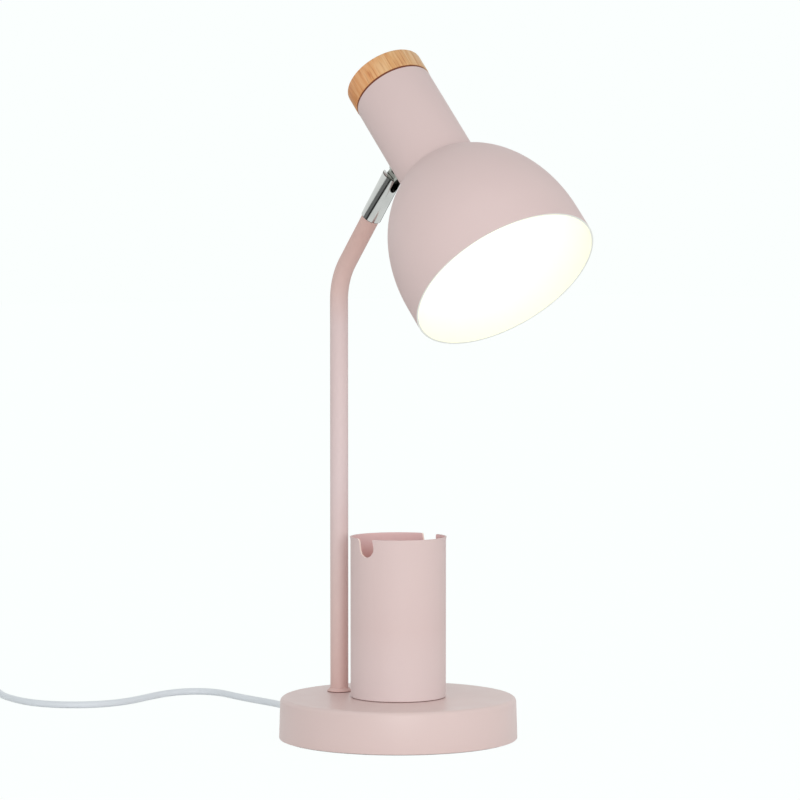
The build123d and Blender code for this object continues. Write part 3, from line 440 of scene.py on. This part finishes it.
def coat_with_painted_light_by_height(name, tones):
    """Matt paint with painted light and shade that change with height: pairs of metres and tone,
    from the lowest up.
    """
    finish = Finish(name)
    top = tones[-1][0]
    height = finish.spread(finish.along("Z"), 0.0, 1.0, 0.0, top)
    finish.colour(finish.ramp(height, [(z / top, tone) for z, tone in tones]))
    finish.rough(*MATT, COAT_GLOSS)
    finish.coat_grain(0.35)
    return finish.material


def plated(name, tone, roughness, grain):
    """Plated metal with a faint cloudy polish."""
    finish = Finish(name, metallic=1.0)
    finish.colour(finish.drift(PLATE_CLOUDS, 3.0, darker(tone, 10), tone))
    finish.rough(roughness, roughness + 0.06, PLATE_GLOSS)
    finish.bump(finish.noise(grain, 3.0), 0.00001, 0.12)
    return finish.material


def moulded(name, tone, low, high, grain, depth):
    """Moulded plastic or rubber: fine grain, uneven gloss and a little drift in tone."""
    finish = Finish(name)
    finish.colour(finish.drift(MOULD_CLOUDS, 2.0, darker(tone, 5), tone))
    finish.rough(low, high, MOULD_GLOSS)
    finish.bump(finish.noise(grain, 3.0), depth, 0.4)
    return finish.material


def turned_wood(name):
    """Pale wood with its grain along the cap: broken orange streaks, and a painted sheen that
    leaves the side towards the camera's right cooler and the other side more orange.
    """
    finish = Finish(name)
    centre = tuple(AT_SHADE @ Vector((0.0, 0.0, NECK_LEN)))

    def grain(scale, detail, rough, stretch, distortion=0.0):
        """Noise drawn out along the cap's axis."""
        where = finish.mapped(centre, (-TILT, 0.0, 0.0), (1, 1, stretch))
        return finish.noise(scale, detail, rough, where, distortion)

    broad = grain(150.0, 3.0, 0.55, 0.10, 0.3)
    streak = grain(520.0, 4.0, 0.62, 0.085, 0.25)
    pore = grain(1500.0, 2.0, 0.5, 0.05)
    ground = finish.ramp(broad, [
        (0.28, (206, 145, 84)), (0.50, (221, 171, 114)), (0.74, (228, 189, 140)),
    ])
    warm = finish.ramp(streak, [
        (0.34, (184, 100, 52)), (0.44, (219, 160, 101)), (0.66, (234, 197, 150)),
    ])
    wood = finish.mix(0.62, ground, warm)
    marks = finish.ramp(pore, [(0.30, (168, 100, 60)), (0.42, WHITE)])
    wood = finish.mix(0.35, wood, marks, "MULTIPLY")
    # Painted sheen: cooler and paler towards the camera's right, warmer towards its left.
    side = finish.along("X", finish.mapped(centre, (0.0, 0.0, ORANGE_SIDE)))
    across = finish.spread(side, 0.0, 1.0, -ORANGE_REACH, ORANGE_REACH)
    sheen_side = finish.ramp(across, [
        (0.10, (255, 234, 224)), (0.45, (254, 254, 255)), (0.90, (243, 247, 255)),
    ])
    finish.colour(finish.mix(1.0, wood, sheen_side, "MULTIPLY"))
    finish.rough(0.42, 0.55, 300.0)
    finish.shader.inputs["Coat Weight"].default_value = 0.12
    finish.shader.inputs["Coat Roughness"].default_value = 0.3
    finish.bump(pore, 0.00005, 0.35)
    return finish.material


def enamel_with_painted_glow(name, glow, painted_mouth_tone):
    """White inner coat of the shade with a painted glow, as if lit by the bulb, and a given painted
    tone towards the mouth.
    """
    finish = Finish(name, roughness=0.55)
    white = finish.drift(12.0, 2.0, (250, 248, 241), (255, 253, 248))
    mouth = tuple(AT_SHADE @ Vector((0.0, 0.0, SHADE_RIM)))
    depth = finish.along("Z", finish.mapped(mouth, (-TILT, 0.0, 0.0)))
    near = finish.spread(depth, 1.0, 0.0, 0.0, MOUTH_FADE)
    finish.lit(finish.mix(near, white, shade_of(*painted_mouth_tone)), glow)
    finish.coat_grain(0.3)
    return finish.material


def frosted_glow(name):
    """Frosted bulb, lit."""
    finish = Finish(name, roughness=0.4)
    finish.lit(finish.drift(40.0, 2.0, (255, 244, 222), (255, 250, 236)), BULB_LEVEL)
    finish.bump(finish.noise(1500.0, 2.0), 0.00003, 0.3)
    return finish.material


ROSE = powder_coat("rose_powder_coat", (222, 198, 196), 2)
# Painted shade and pink bounce light on the post and its collar: warmer and darker at the foot and
# along the bend and arm, paler at mid-height.
POST_ROSE_PAINTED_BOUNCE = coat_with_painted_light_by_height("post_coat_painted_bounce", [
    (0.032, (219, 186, 180)), (0.100, (220, 193, 189)), (0.168, (225, 203, 203)),
    (0.276, (222, 199, 198)), (0.302, (219, 188, 182)), (0.336, (217, 181, 173)),
])
# Painted light on the cup: paler towards its foot.
CUP_ROSE_PAINTED_LIGHT = coat_with_painted_light_by_height("cup_coat_painted_light", [(0.030, (228, 210, 209)), (0.075, (222, 198, 196))])
# Painted shade and light inside the cup: darker and redder deep down, paler than the coat near the
# rim.
CUP_INSIDE_PAINTED_SHADE = coat_with_painted_light_by_height(
    "cup_inside_painted_shade", [(0.110, (222, 160, 150)), (0.131, (240, 204, 203))]
)
BASE_ROSE = powder_coat("satin_powder_coat", (222, 198, 195), 2, SATIN)
FOOT_SHADE = powder_coat("rose_in_shadow", (128, 74, 68), 3)
# Painted highlight on the cup's cut faces and rounded hard edges.
CUT_EDGE_HIGHLIGHT = powder_coat("painted_highlight_on_edges", (252, 230, 220), 2)
CHROME = plated("bright_chrome", (208, 208, 206), 0.08, 900.0)
SHADED_CHROME = plated("chrome_in_shadow", (66, 64, 64), 0.25, 900.0)
DARK_STEEL = plated("hinge_steel", (168, 170, 164), 0.08, 1400.0)
ZINC = plated("zinc_plate", (176, 176, 180), 0.28, 1600.0)
NICKEL = plated("nickel_plate", (206, 202, 194), 0.14, 1200.0)
CASTING = moulded("raw_casting", (70, 70, 72), 0.6, 0.8, 700.0, 0.0002)
FOAM = moulded("foot_foam", (46, 46, 47), 0.8, 0.92, 1900.0, 0.0002)
PLASTIC = moulded("white_plastic", (233, 235, 237), 0.32, 0.42, 2200.0, 0.00003)
SHEATH = moulded("cord_sheath", (230, 234, 240), 0.34, 0.44, 1200.0, 0.00003)
NYLON = moulded("nylon_washer", (214, 212, 204), 0.4, 0.5, 1500.0, 0.00003)
WOOD = turned_wood("turned_wood")
# Painted shadow in the seam under the wooden cap.
WOOD_IN_PAINTED_SHADOW = moulded("wood_in_shadow", (118, 62, 42), 0.6, 0.8, 900.0, 0.00005)
# The shade's inside glows with painted light, and painted shade greys it towards the mouth.
ENAMEL_AND_PAINTED_GLOW = enamel_with_painted_glow("inner_enamel_painted_glow", 0.75, (192, 193, 178))
# Painted light on the shade's rim: a pale tone, without glow.
LIT_RIM = enamel_with_painted_glow("lit_rim", 0.0, (232, 233, 228))
GLOW = frosted_glow("frosted_bulb")


# Making pieces

def verts_in(geometry):
    return [g for g in geometry if isinstance(g, bmesh.types.BMVert)]


def edges_in(geometry):
    return [g for g in geometry if isinstance(g, bmesh.types.BMEdge)]


def smooth_faces(shape, sharp):
    """Smooth shading with hard lines at sharp angles."""
    for face in shape.faces:
        face.smooth = True
    for edge in shape.edges:
        edge.smooth = len(edge.link_faces) == 2 and edge.calc_face_angle(0.0) < radians(sharp)


def finished(name, shape, body, materials, nodes=(), sharp=HARD_ANGLE):
    """A piece from an edit mesh: smooth faces, creases at sharp angles, and a body to ride on."""
    mesh = bpy.data.meshes.new(name)
    bmesh.ops.recalc_face_normals(shape, faces=shape.faces)
    smooth_faces(shape, sharp)
    shape.to_mesh(mesh)
    shape.free()
    piece = placed(name, mesh)
    for material in materials:
        mesh.materials.append(material)
    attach(piece, body)
    if nodes:
        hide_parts(*nodes)
    return piece


def finished_at_shade(name, shape, materials, nodes=()):
    """A piece of the head, drawn in the shade's frame."""
    shape.transform(AT_SHADE)
    return finished(name, shape, "head", materials, nodes)


def ring_edges(shape, height, radius=None):
    """Edges that lie level at a height, and at a radius where one is given."""
    slack = 10 * SAME_PLACE
    found = []
    for edge in shape.edges:
        ends = [v.co for v in edge.verts]
        level = all(abs(p.z - height) < slack for p in ends)
        if level and (radius is None or all(abs(p.xy.length - radius) < slack * 10 for p in ends)):
            found.append(edge)
    return found


def round_edges(shape, edges, size, segments):
    bmesh.ops.bevel(
        shape, geom=edges, offset=size, offset_type="OFFSET", segments=segments, profile=0.5,
        affect="EDGES", material=-1, clamp_overlap=True,
    )


def drum(radius, top_radius, start, end, segments):
    """Round body between two heights."""
    shape = bmesh.new()
    bmesh.ops.create_cone(
        shape, cap_ends=True, cap_tris=False, segments=segments, radius1=radius,
        radius2=top_radius, depth=end - start, matrix=Matrix.Translation((0, 0, (start + end) / 2)),
    )
    return shape


def rod_across(radius, length, centre):
    """Round bar along X."""
    shape = bmesh.new()
    bmesh.ops.create_cone(
        shape, cap_ends=True, segments=48, radius1=radius, radius2=radius, depth=length,
        matrix=Matrix.Translation(centre) @ Matrix.Rotation(pi / 2, 4, "Y"),
    )
    return shape


def u_bar(width, height, length, segments):
    """Bar along Z with a U outline, round towards -Y, its round side centred on the axis."""
    shape = bmesh.new()
    bmesh.ops.create_circle(shape, cap_ends=False, segments=segments, radius=width / 2)
    upper = [v for v in shape.verts if v.co.y > SAME_PLACE]
    bmesh.ops.translate(shape, verts=upper, vec=(0, height, 0))
    bmesh.ops.contextual_create(shape, geom=shape.edges[:])
    out = bmesh.ops.extrude_face_region(shape, geom=shape.faces[:])["geom"]
    bmesh.ops.translate(shape, verts=verts_in(out), vec=(0, 0, length))
    bmesh.ops.translate(shape, verts=shape.verts, vec=(0, 0, -length / 2))
    return shape


def turned(outline, segments=160):
    """Closed round body from an outline of (radius, height) points, turned about Z."""
    shape = bmesh.new()
    verts = [shape.verts.new((radius, 0, height)) for radius, height in outline]
    edges = [shape.edges.new(ends) for ends in zip(verts, verts[1:] + verts[:1])]
    bmesh.ops.spin(
        shape, geom=verts + edges, cent=(0, 0, 0), axis=(0, 0, 1), angle=2 * pi, steps=segments,
        use_merge=True,
    )
    bmesh.ops.remove_doubles(shape, verts=shape.verts, dist=SAME_PLACE)
    loose = [edge for edge in shape.edges if not edge.link_faces]
    bmesh.ops.delete(shape, geom=loose, context="EDGES")
    bmesh.ops.recalc_face_normals(shape, faces=shape.faces)
    return shape


def pulled(shape, edges, shift):
    """Edges drawn out by a shift, with faces between. Returns the new edges."""
    out = bmesh.ops.extrude_edge_only(shape, edges=edges)["geom"]
    bmesh.ops.translate(shape, verts=verts_in(out), vec=shift)
    return edges_in(out)


def soften(piece, width, angle=40.0, finish=-1):
    """Small rounding of the hard edges, in the finish of a material slot."""
    edge = piece.modifiers.new("edge", "BEVEL")
    edge.width = width
    edge.material = finish
    edge.segments = 2
    edge.limit_method = "ANGLE"
    edge.angle_limit = radians(angle)
    edge.harden_normals = False


def cut_out(piece, cutter_shape, finish=0):
    """The piece less another shape, both closed. The cut faces take a material slot."""
    mesh = bpy.data.meshes.new("cutter")
    for face in cutter_shape.faces:
        face.material_index = finish
    bmesh.ops.recalc_face_normals(cutter_shape, faces=cutter_shape.faces)
    cutter_shape.to_mesh(mesh)
    cutter_shape.free()
    cutter = placed("cutter", mesh)
    cut = piece.modifiers.new("cut", "BOOLEAN")
    cut.operation = "DIFFERENCE"
    cut.solver = "EXACT"
    cut.object = cutter
    bpy.context.view_layer.update()
    ready = piece.evaluated_get(bpy.context.evaluated_depsgraph_get())
    result = bpy.data.meshes.new_from_object(ready)
    piece.modifiers.clear()
    piece.data = result
    bpy.data.objects.remove(cutter)


def crease(piece):
    """Smooth faces and hard lines again, after a cut."""
    shape = bmesh.new()
    shape.from_mesh(piece.data)
    smooth_faces(shape, HARD_ANGLE)
    shape.to_mesh(piece.data)
    shape.free()


def shade_foot(shape, finish):
    """The lowest faces of a piece on the base, in the finish of the shadow under its foot."""
    for face in shape.faces:
        if face.calc_center_median().z < BASE_H + FOOT_LINE:
            face.material_index = finish


# Pieces

def base_cover():
    """Drawn metal cover, open below, with a rounded shoulder and a rim turned in."""
    shape = drum(BASE_R, BASE_TOP_R, BASE_LIFT, BASE_H, 192)
    floor = [f for f in shape.faces if all(abs(v.co.z - BASE_LIFT) < SAME_PLACE for v in f.verts)]
    bmesh.ops.delete(shape, geom=floor, context="FACES_ONLY")
    round_edges(shape, ring_edges(shape, BASE_H), SHOULDER_R, 10)
    top = [max(shape.faces, key=lambda f: len(f.verts))]
    bmesh.ops.inset_region(shape, faces=top, thickness=SHOULDER_LAND, use_even_offset=True)
    pulled_in = bmesh.ops.extrude_edge_only(shape, edges=ring_edges(shape, BASE_LIFT))["geom"]
    inner = (BASE_R - COVER_WALL) / BASE_R
    bmesh.ops.scale(shape, vec=(inner, inner, 1.0), verts=verts_in(pulled_in))
    pulled(shape, edges_in(pulled_in), (0, 0, COVER_RETURN))
    round_edges(shape, ring_edges(shape, BASE_LIFT, BASE_R), COVER_EDGE_R, 3)
    return finished("base_shell", shape, "stand", [BASE_ROSE], ["base_cover"])


def pen_cup():
    """Straight cup with a slightly flared lip and two slanted notches."""
    rim, floor = BASE_H + CUP_H, BASE_H + CUP_WALL
    inner, below_lip = CUP_R - CUP_WALL, BASE_H + CUP_H - CUP_LIP_H
    shape = turned([
        (0, BASE_H), (CUP_R, BASE_H), (CUP_R, below_lip), (CUP_R + CUP_LIP, rim),
        (inner + CUP_LIP, rim), (inner, below_lip), (inner, floor), (0, floor),
    ], 192)
    # Coats: the body with painted light, a painted highlight on the cut edges, painted shadow under
    # the foot, painted shade and light inside.
    coats = [CUP_ROSE_PAINTED_LIGHT, CUT_EDGE_HIGHLIGHT, FOOT_SHADE, CUP_INSIDE_PAINTED_SHADE]
    edge_highlight = coats.index(CUT_EDGE_HIGHLIGHT)
    round_edges(shape, ring_edges(shape, BASE_H, CUP_R), CUP_FOOT_R, 5)
    shade_foot(shape, coats.index(FOOT_SHADE))
    for face in shape.faces:
        middle = face.calc_center_median()
        between = floor - SAME_PLACE < middle.z < rim - SAME_PLACE
        if between and middle.xy.length < inner + CUP_LIP:
            face.material_index = coats.index(CUP_INSIDE_PAINTED_SHADE)
    cup = finished("cup_body", shape, "stand", coats, ["pen_cup"])
    cut_out(cup, notch_bar(rim), edge_highlight)
    for side in (-1, 1):
        cut_out(cup, mouth_rounding(rim, side), edge_highlight)
    cup.data.transform(Matrix.Rotation(CUP_TURN, 4, "Z"))
    crease(cup)
    soften(cup, CUT_EDGE_R, finish=edge_highlight)
    return cup


def notch_bar(rim):
    """Long bar with a U outline, laid across the rim."""
    floor = -NOTCH_DEPTH / cos(NOTCH_SLANT) + NOTCH_W / 2
    shape = u_bar(NOTCH_W, NOTCH_CUT_H, NOTCH_CUT_LEN, 64)
    stand = Matrix.Rotation(radians(90), 4, "Z") @ Matrix.Rotation(radians(90), 4, "X")
    place = Matrix.Translation((0, NOTCH_SHIFT, rim)) @ Matrix.Rotation(-NOTCH_SLANT, 4, "X")
    shape.transform(place @ Matrix.Translation((0, 0, floor)) @ stand)
    return shape


def mouth_rounding(rim, side):
    """Bar that takes the notch's top corner, on one side, down to a round one."""
    corner = NOTCH_SHIFT + side * NOTCH_W / 2 / cos(NOTCH_SLANT)
    block = bmesh.new()
    bmesh.ops.create_cube(block, size=1.0)
    across = 2 * NOTCH_CORNER
    bmesh.ops.scale(block, vec=(NOTCH_CUT_LEN, across, across), verts=block.verts)
    bmesh.ops.translate(block, verts=block.verts, vec=(0, corner, rim))
    bar = placed("bar", bpy.data.meshes.new("bar"))
    block.to_mesh(bar.data)
    block.free()
    centre = (0, corner + side * NOTCH_CORNER, rim - NOTCH_CORNER)
    cut_out(bar, rod_across(NOTCH_CORNER, CORNER_CUT_LEN, centre))
    shape = bmesh.new()
    shape.from_mesh(bar.data)
    bpy.data.objects.remove(bar)
    return shape


def post_tube():
    """Upright tube, its bend and the arm, from one drawn circle."""
    shape = bmesh.new()
    foot = Matrix.Translation((POST_X, POST_Y, BASE_H))
    bmesh.ops.create_circle(shape, cap_ends=False, segments=64, radius=TUBE_R, matrix=foot)
    bend = BEND_R * tan(ARM_LEAN / 2)
    straight = CORNER_Z - bend - BASE_H
    top = pulled(shape, shape.edges[:], (0, 0, straight))
    centre = Vector((POST_X, POST_Y - BEND_R, CORNER_Z - bend))
    ring = [v for v in shape.verts if abs(v.co.z - centre.z) < SAME_PLACE]
    spun = bmesh.ops.spin(
        shape, geom=ring + top, cent=centre, axis=(1, 0, 0), angle=ARM_LEAN, steps=24,
        use_merge=False,
    )["geom_last"]
    pulled(shape, edges_in(spun), arm_point(ARM_RUN) - arm_point(bend))
    bmesh.ops.remove_doubles(shape, verts=shape.verts, dist=SAME_PLACE)
    return finished("post_and_arm", shape, "stand", [POST_ROSE_PAINTED_BOUNCE], ["post_tube"])


def post_collar():
    """Small collar at the post's foot: an upright edge and a cone above it."""
    edge_top = BASE_H + COLLAR_EDGE
    shape = drum(COLLAR_R, COLLAR_R, BASE_H, edge_top, 96)
    top = [f for f in shape.faces if all(v.co.z > edge_top - 100 * SAME_PLACE for v in f.verts)]
    verts = verts_in(bmesh.ops.extrude_face_region(shape, geom=top)["geom"])
    bmesh.ops.translate(shape, verts=verts, vec=(0, 0, COLLAR_CONE))
    taper = COLLAR_TOP_R / COLLAR_R
    bmesh.ops.scale(shape, vec=(taper, taper, 1.0), verts=verts)
    bmesh.ops.delete(shape, geom=top, context="FACES_ONLY")
    round_edges(shape, ring_edges(shape, edge_top), SMALL_EDGE_R, 3)
    round_edges(shape, ring_edges(shape, BASE_H), FOOT_LINE, 3)
    coats = [POST_ROSE_PAINTED_BOUNCE, FOOT_SHADE]
    shade_foot(shape, coats.index(FOOT_SHADE))
    shape.transform(Matrix.Translation((POST_X, POST_Y, 0)))
    return finished("post_foot_collar", shape, "stand", coats, ["post_collar"])


def dome_curve(inset, steps=36):
    """Elliptic outline from the skirt up to the crease, moved in by a wall."""
    neck, dome, half_axis = NECK_R - inset, DOME_R - inset, DOME_AXIS - inset
    turns = [acos(neck / dome) * i / steps for i in range(steps + 1)]
    return [(dome * cos(t), half_axis * sin(t) - DOME_DROP) for t in turns]


def shade_shell():
    """Spun shade: neck, crease, dome and skirt, enamelled inside."""
    rim, plate = SHADE_RIM, NECK_LEN - SHADE_WALL
    outer = [(DOME_R, rim)] + dome_curve(0) + [(NECK_R, NECK_LEN), (0, NECK_LEN)]
    inner = [(DOME_R - SHADE_WALL, rim)] + dome_curve(SHADE_WALL)
    inner += [(NECK_R - SHADE_WALL, plate), (0, plate)]
    shape = turned(outer + inner[::-1])
    round_edges(shape, ring_edges(shape, 0.0, NECK_R), CREASE_W, 6)
    round_edges(shape, ring_edges(shape, NECK_LEN, NECK_R), NECK_EDGE_R, 2)
    # Coats: rose outside, white inside with a painted glow, and painted light on the rim.
    coats = [ROSE, ENAMEL_AND_PAINTED_GLOW, LIT_RIM]
    for face in shape.faces:
        middle = face.calc_center_median()
        under_plate = middle.z > 0 and face.normal.z < -0.9
        if middle.z < rim + 10 * SAME_PLACE:
            face.material_index = coats.index(LIT_RIM)
        elif under_plate or face.normal.xy.dot(middle.xy) < 0:
            face.material_index = coats.index(ENAMEL_AND_PAINTED_GLOW)
    return finished_at_shade("shade_shell", shape, coats, ["shade"])


def wood_cap():
    """Turned wooden cap with a rounded top edge, over a narrower foot in painted shadow."""
    seat, top = NECK_LEN + CAP_SEAM_H, NECK_LEN + CAP_H
    cap = drum(CAP_R, CAP_R, seat, top, 160)
    round_edges(cap, ring_edges(cap, top), CAP_EDGE_R, 6)
    round_edges(cap, ring_edges(cap, seat), SMALL_EDGE_R, 2)
    finished_at_shade("turned_cap", cap, [WOOD], ["wood_cap"])
    foot = drum(CAP_R - CAP_SEAM_IN, CAP_R - CAP_SEAM_IN, NECK_LEN, seat, 128)
    finished_at_shade("cap_foot", foot, [WOOD_IN_PAINTED_SHADOW])


def bulb_globe():
    """Frosted globe drawn into a short stem."""
    shape = bmesh.new()
    foot = NECK_LEN - SHADE_WALL - HOLDER_LEN - BULB_GAP
    middle = foot - BULB_LEN + BULB_R
    bmesh.ops.create_uvsphere(
        shape, u_segments=64, v_segments=48, radius=BULB_R,
        matrix=Matrix.Translation((0, 0, middle)),
    )
    cut = middle + BULB_R * sin(GLOBE_CUT)
    bmesh.ops.bisect_plane(
        shape, geom=shape.verts[:] + shape.edges[:] + shape.faces[:], plane_co=(0, 0, cut),
        plane_no=(0, 0, 1), clear_outer=True,
    )
    wide = BULB_R * cos(GLOBE_CUT)
    edges = ring_edges(shape, cut)
    stem_below, stem_top_r = STEM_TOP
    steps = [(cut + rise, radius) for rise, radius in STEM_CURVE]
    steps += [(foot - stem_below, stem_top_r), (foot, BULB_STEM_R)]
    for height, radius in steps:
        here = edges[0].verts[0].co.z
        edges = pulled(shape, edges, (0, 0, height - here))
        verts = {v for e in edges for v in e.verts}
        bmesh.ops.scale(shape, vec=(radius / wide, radius / wide, 1.0), verts=list(verts))
        wide = radius
    bmesh.ops.contextual_create(shape, geom=edges)
    return finished_at_shade("bulb_globe", shape, [GLOW], ["bulb_glass"])


def hinge_barrel():
    """Chrome barrel with its slot and the seat of the screw's head."""
    shape = drum(BARREL_R, BARREL_R, 0.0, BARREL_LEN, 128)
    for height in (0.0, BARREL_LEN):
        round_edges(shape, ring_edges(shape, height), BARREL_EDGE_R, 3)
    metals = [CHROME, SHADED_CHROME]
    shaded = metals.index(SHADED_CHROME)
    for face in shape.faces:
        rounded = 0.05 < abs(face.normal.z) < 0.95
        face.material_index = shaded if rounded else 0
    barrel = finished("slotted_barrel", shape, "stand", metals, ["hinge_barrel"])
    slot = u_bar(SLOT_W, SLOT_CUT_H, SLOT_CUT_LEN, 48)
    floor = BARREL_LEN - SLOT_DEPTH + SLOT_W / 2
    slot.transform(Matrix.Translation((0, 0, floor)) @ Matrix.Rotation(radians(90), 4, "X"))
    cut_out(barrel, slot, shaded)
    seat = (BARREL_R - SCREW_SEAT_IN, 0, BARREL_LEN - PIVOT_IN)
    cut_out(barrel, rod_across(SCREW_SEAT_R, SCREW_CUT_LEN, seat))
    barrel.data.transform(AT_BARREL)
    crease(barrel)
    soften(barrel, BARREL_CUT_EDGE, 50.0)
    return barrel


def dressed(node, material):
    """A CAD node's merged copy with smooth faces, in its finish."""
    source = frame["nodes"][node]
    shape = bmesh.new()
    shape.from_mesh(source.data)
    bmesh.ops.remove_doubles(shape, verts=shape.verts, dist=SAME_PLACE)
    name, body = node + "_piece", source["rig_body"]
    return finished(name, shape, body, [material], [node], SOLID_HARD_ANGLE)


def keep(node, material):
    """A CAD node shown in its finish."""
    solid = frame["nodes"][node]
    solid.data.materials.clear()
    solid.data.materials.append(material)


base_cover()
pen_cup()
post_tube()
post_collar()
shade_shell()
wood_cap()
bulb_globe()
hinge_barrel()

for node, material, slot in (
    ("hinge_tongue", DARK_STEEL, "chrome"),
    ("saddle_washer", CHROME, "chrome"),
    ("hinge_screw", DARK_STEEL, "chrome"),
    ("hinge_washers", NYLON, "washer_plastic"),
    ("cord_gland", SHEATH, "cord_white"),
    ("plug_body", SHEATH, "cord_white"),
    ("plug_pins", NICKEL, "bulb_metal"),
    ("switch_base", PLASTIC, "white_plastic"),
    ("switch_cover", PLASTIC, "white_plastic"),
    ("switch_rocker", PLASTIC, "white_plastic"),
    ("cord_ties", PLASTIC, "white_plastic"),
    ("base_pad", FOAM, "foot_pad"),
    ("lampholder", PLASTIC, "white_plastic"),
    ("cup_screw", ZINC, "plain_steel"),
    ("bulb_cap", NICKEL, "bulb_metal"),
    ("head_lead", SHEATH, "lead_sheath"),
    ("inner_lead", SHEATH, "lead_sheath"),
):
    dressed(node, material)

keep("base_weight", CASTING)
for node in (
    "base_plate", "post_nipple", "post_washer", "post_nut", "cup_nut", "stud_nut", "cap_screws",
    "holder_nut", "switch_screws",
):
    keep(node, ZINC)


def dress_cord():
    """The cord's finish and body, in place of the CAD cord pieces, which are hidden."""
    cord.data.materials.append(SHEATH)
    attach(cord, "stand")
    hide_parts("cord_lead", "cord_link", "cord_coil", "cord_tail")


dress_cord()


# Floor, light and background

BACKDROP = (0.965, 1.0, 0.99, 1.0)
FLOOR_PAINT = (0.92, 0.92, 0.91, 1.0)
FLOOR_LEVEL = 1.03
FLOOR_HALF = 12.0
ROOM_DEPTH = 4.0
TABLE_MIDDLE = (0.4, 0.0, 0.0)
TABLE_LEVELS = [
    (0.20, 0.95), (0.210, 0.03), (0.258, 0.03), (0.268, 0.22), (0.80, 0.20), (0.83, 0.90),
]
WORLD_LEVEL = 0.70
PLAIN_SHARE = 0.93
LAMPS = (("front", 11.8, (-1.05, -1.35, 0.16)), ("side", 2.6, (0.3, -1.7, 0.2)))
LAMP_SIZE = 1.0
LAMP_AIM = (0, 0, 0.05)


def combine(nodes, links, operation, first, second):
    """Two values, each a socket or a number, put together by one sum."""
    node = nodes.new("ShaderNodeMath")
    node.operation = operation
    for socket, value in zip(node.inputs, (first, second)):
        feed(links, socket, value)
    return node.outputs[0]


def seen_directly(nodes, links):
    """One where the camera, a reflection or clear glass looks, nought where light bounces."""
    path = nodes.new("ShaderNodeLightPath").outputs
    looked = combine(nodes, links, "MAXIMUM", path["Is Camera Ray"], path["Is Glossy Ray"])
    return combine(nodes, links, "MAXIMUM", looked, path["Is Transmission Ray"])


def table_in_reflections(nodes, links):
    """Brightness of the floor: even to the camera, but a pale table in a dark room to a mirror."""
    place = nodes.new("ShaderNodeTexCoord").outputs["Object"]
    away = nodes.new("ShaderNodeVectorMath")
    away.operation = "DISTANCE"
    away.inputs[1].default_value = TABLE_MIDDLE
    links.new(place, away.inputs[0])
    ring = nodes.new("ShaderNodeValToRGB")
    while len(ring.color_ramp.elements) < len(TABLE_LEVELS):
        ring.color_ramp.elements.new(0.5)
    for stop, (position, level) in zip(ring.color_ramp.elements, TABLE_LEVELS):
        stop.position = position
        stop.color = (level, level, level, 1.0)
    share = combine(nodes, links, "MULTIPLY", away.outputs["Value"], 1 / ROOM_DEPTH)
    links.new(share, ring.inputs["Fac"])
    path = nodes.new("ShaderNodeLightPath")
    blend = nodes.new("ShaderNodeMix")
    links.new(path.outputs["Is Glossy Ray"], blend.inputs["Factor"])
    blend.inputs["A"].default_value = FLOOR_LEVEL
    links.new(ring.outputs["Color"], blend.inputs["B"])
    return blend.outputs["Result"]


def stage_floor():
    """Plain pale floor that shows white to the camera and keeps a soft shadow."""
    shape = bmesh.new()
    bmesh.ops.create_grid(shape, x_segments=1, y_segments=1, size=FLOOR_HALF)
    mesh = bpy.data.meshes.new("floor")
    shape.to_mesh(mesh)
    shape.free()
    floor = placed("floor", mesh)
    material = bpy.data.materials.new("floor_paint")
    material.use_nodes = True
    nodes, links = material.node_tree.nodes, material.node_tree.links
    shader = nodes["Principled BSDF"]
    shader.inputs["Base Color"].default_value = FLOOR_PAINT
    shader.inputs["Roughness"].default_value = 0.9
    shader.inputs["Specular IOR Level"].default_value = 0.0
    glow = nodes.new("ShaderNodeEmission")
    glow.inputs["Color"].default_value = BACKDROP
    links.new(table_in_reflections(nodes, links), glow.inputs["Strength"])
    path = nodes.new("ShaderNodeLightPath")
    share = nodes.new("ShaderNodeMath")
    share.operation = "MULTIPLY_ADD"
    links.new(path.outputs["Is Glossy Ray"], share.inputs[0])
    share.inputs[1].default_value = 1 - PLAIN_SHARE
    share.inputs[2].default_value = PLAIN_SHARE
    looked_at = combine(nodes, links, "MULTIPLY", share.outputs[0], seen_directly(nodes, links))
    blend = nodes.new("ShaderNodeMixShader")
    links.new(looked_at, blend.inputs["Fac"])
    links.new(shader.outputs[0], blend.inputs[1])
    links.new(glow.outputs[0], blend.inputs[2])
    links.new(blend.outputs[0], nodes["Material Output"].inputs["Surface"])
    mesh.materials.append(material)


def light_world():
    """Even pale surroundings, at full level where the camera or a reflection looks at them."""
    world = bpy.data.worlds.new("studio")
    bpy.context.scene.world = world
    world.use_nodes = True
    nodes, links = world.node_tree.nodes, world.node_tree.links
    back = nodes["Background"]
    back.inputs["Color"].default_value = BACKDROP
    level = nodes.new("ShaderNodeMapRange")
    level.inputs["To Min"].default_value = WORLD_LEVEL
    level.inputs["To Max"].default_value = 1.0
    links.new(seen_directly(nodes, links), level.inputs["Value"])
    links.new(level.outputs["Result"], back.inputs["Strength"])


def lamp(name, power, place):
    """Large soft lamp aimed at the foot of the cup."""
    data = bpy.data.lights.new(name, "AREA")
    data.shape = "SQUARE"
    data.size = LAMP_SIZE
    data.energy = power
    light = placed(name, data)
    light.location = place
    aim = Vector(LAMP_AIM) - Vector(place)
    light.rotation_euler = aim.to_track_quat("-Z", "Y").to_euler()


stage_floor()
light_world()
for name, power, place in LAMPS:
    lamp(name, power, place)
bpy.context.scene.view_settings.view_transform = "Standard"
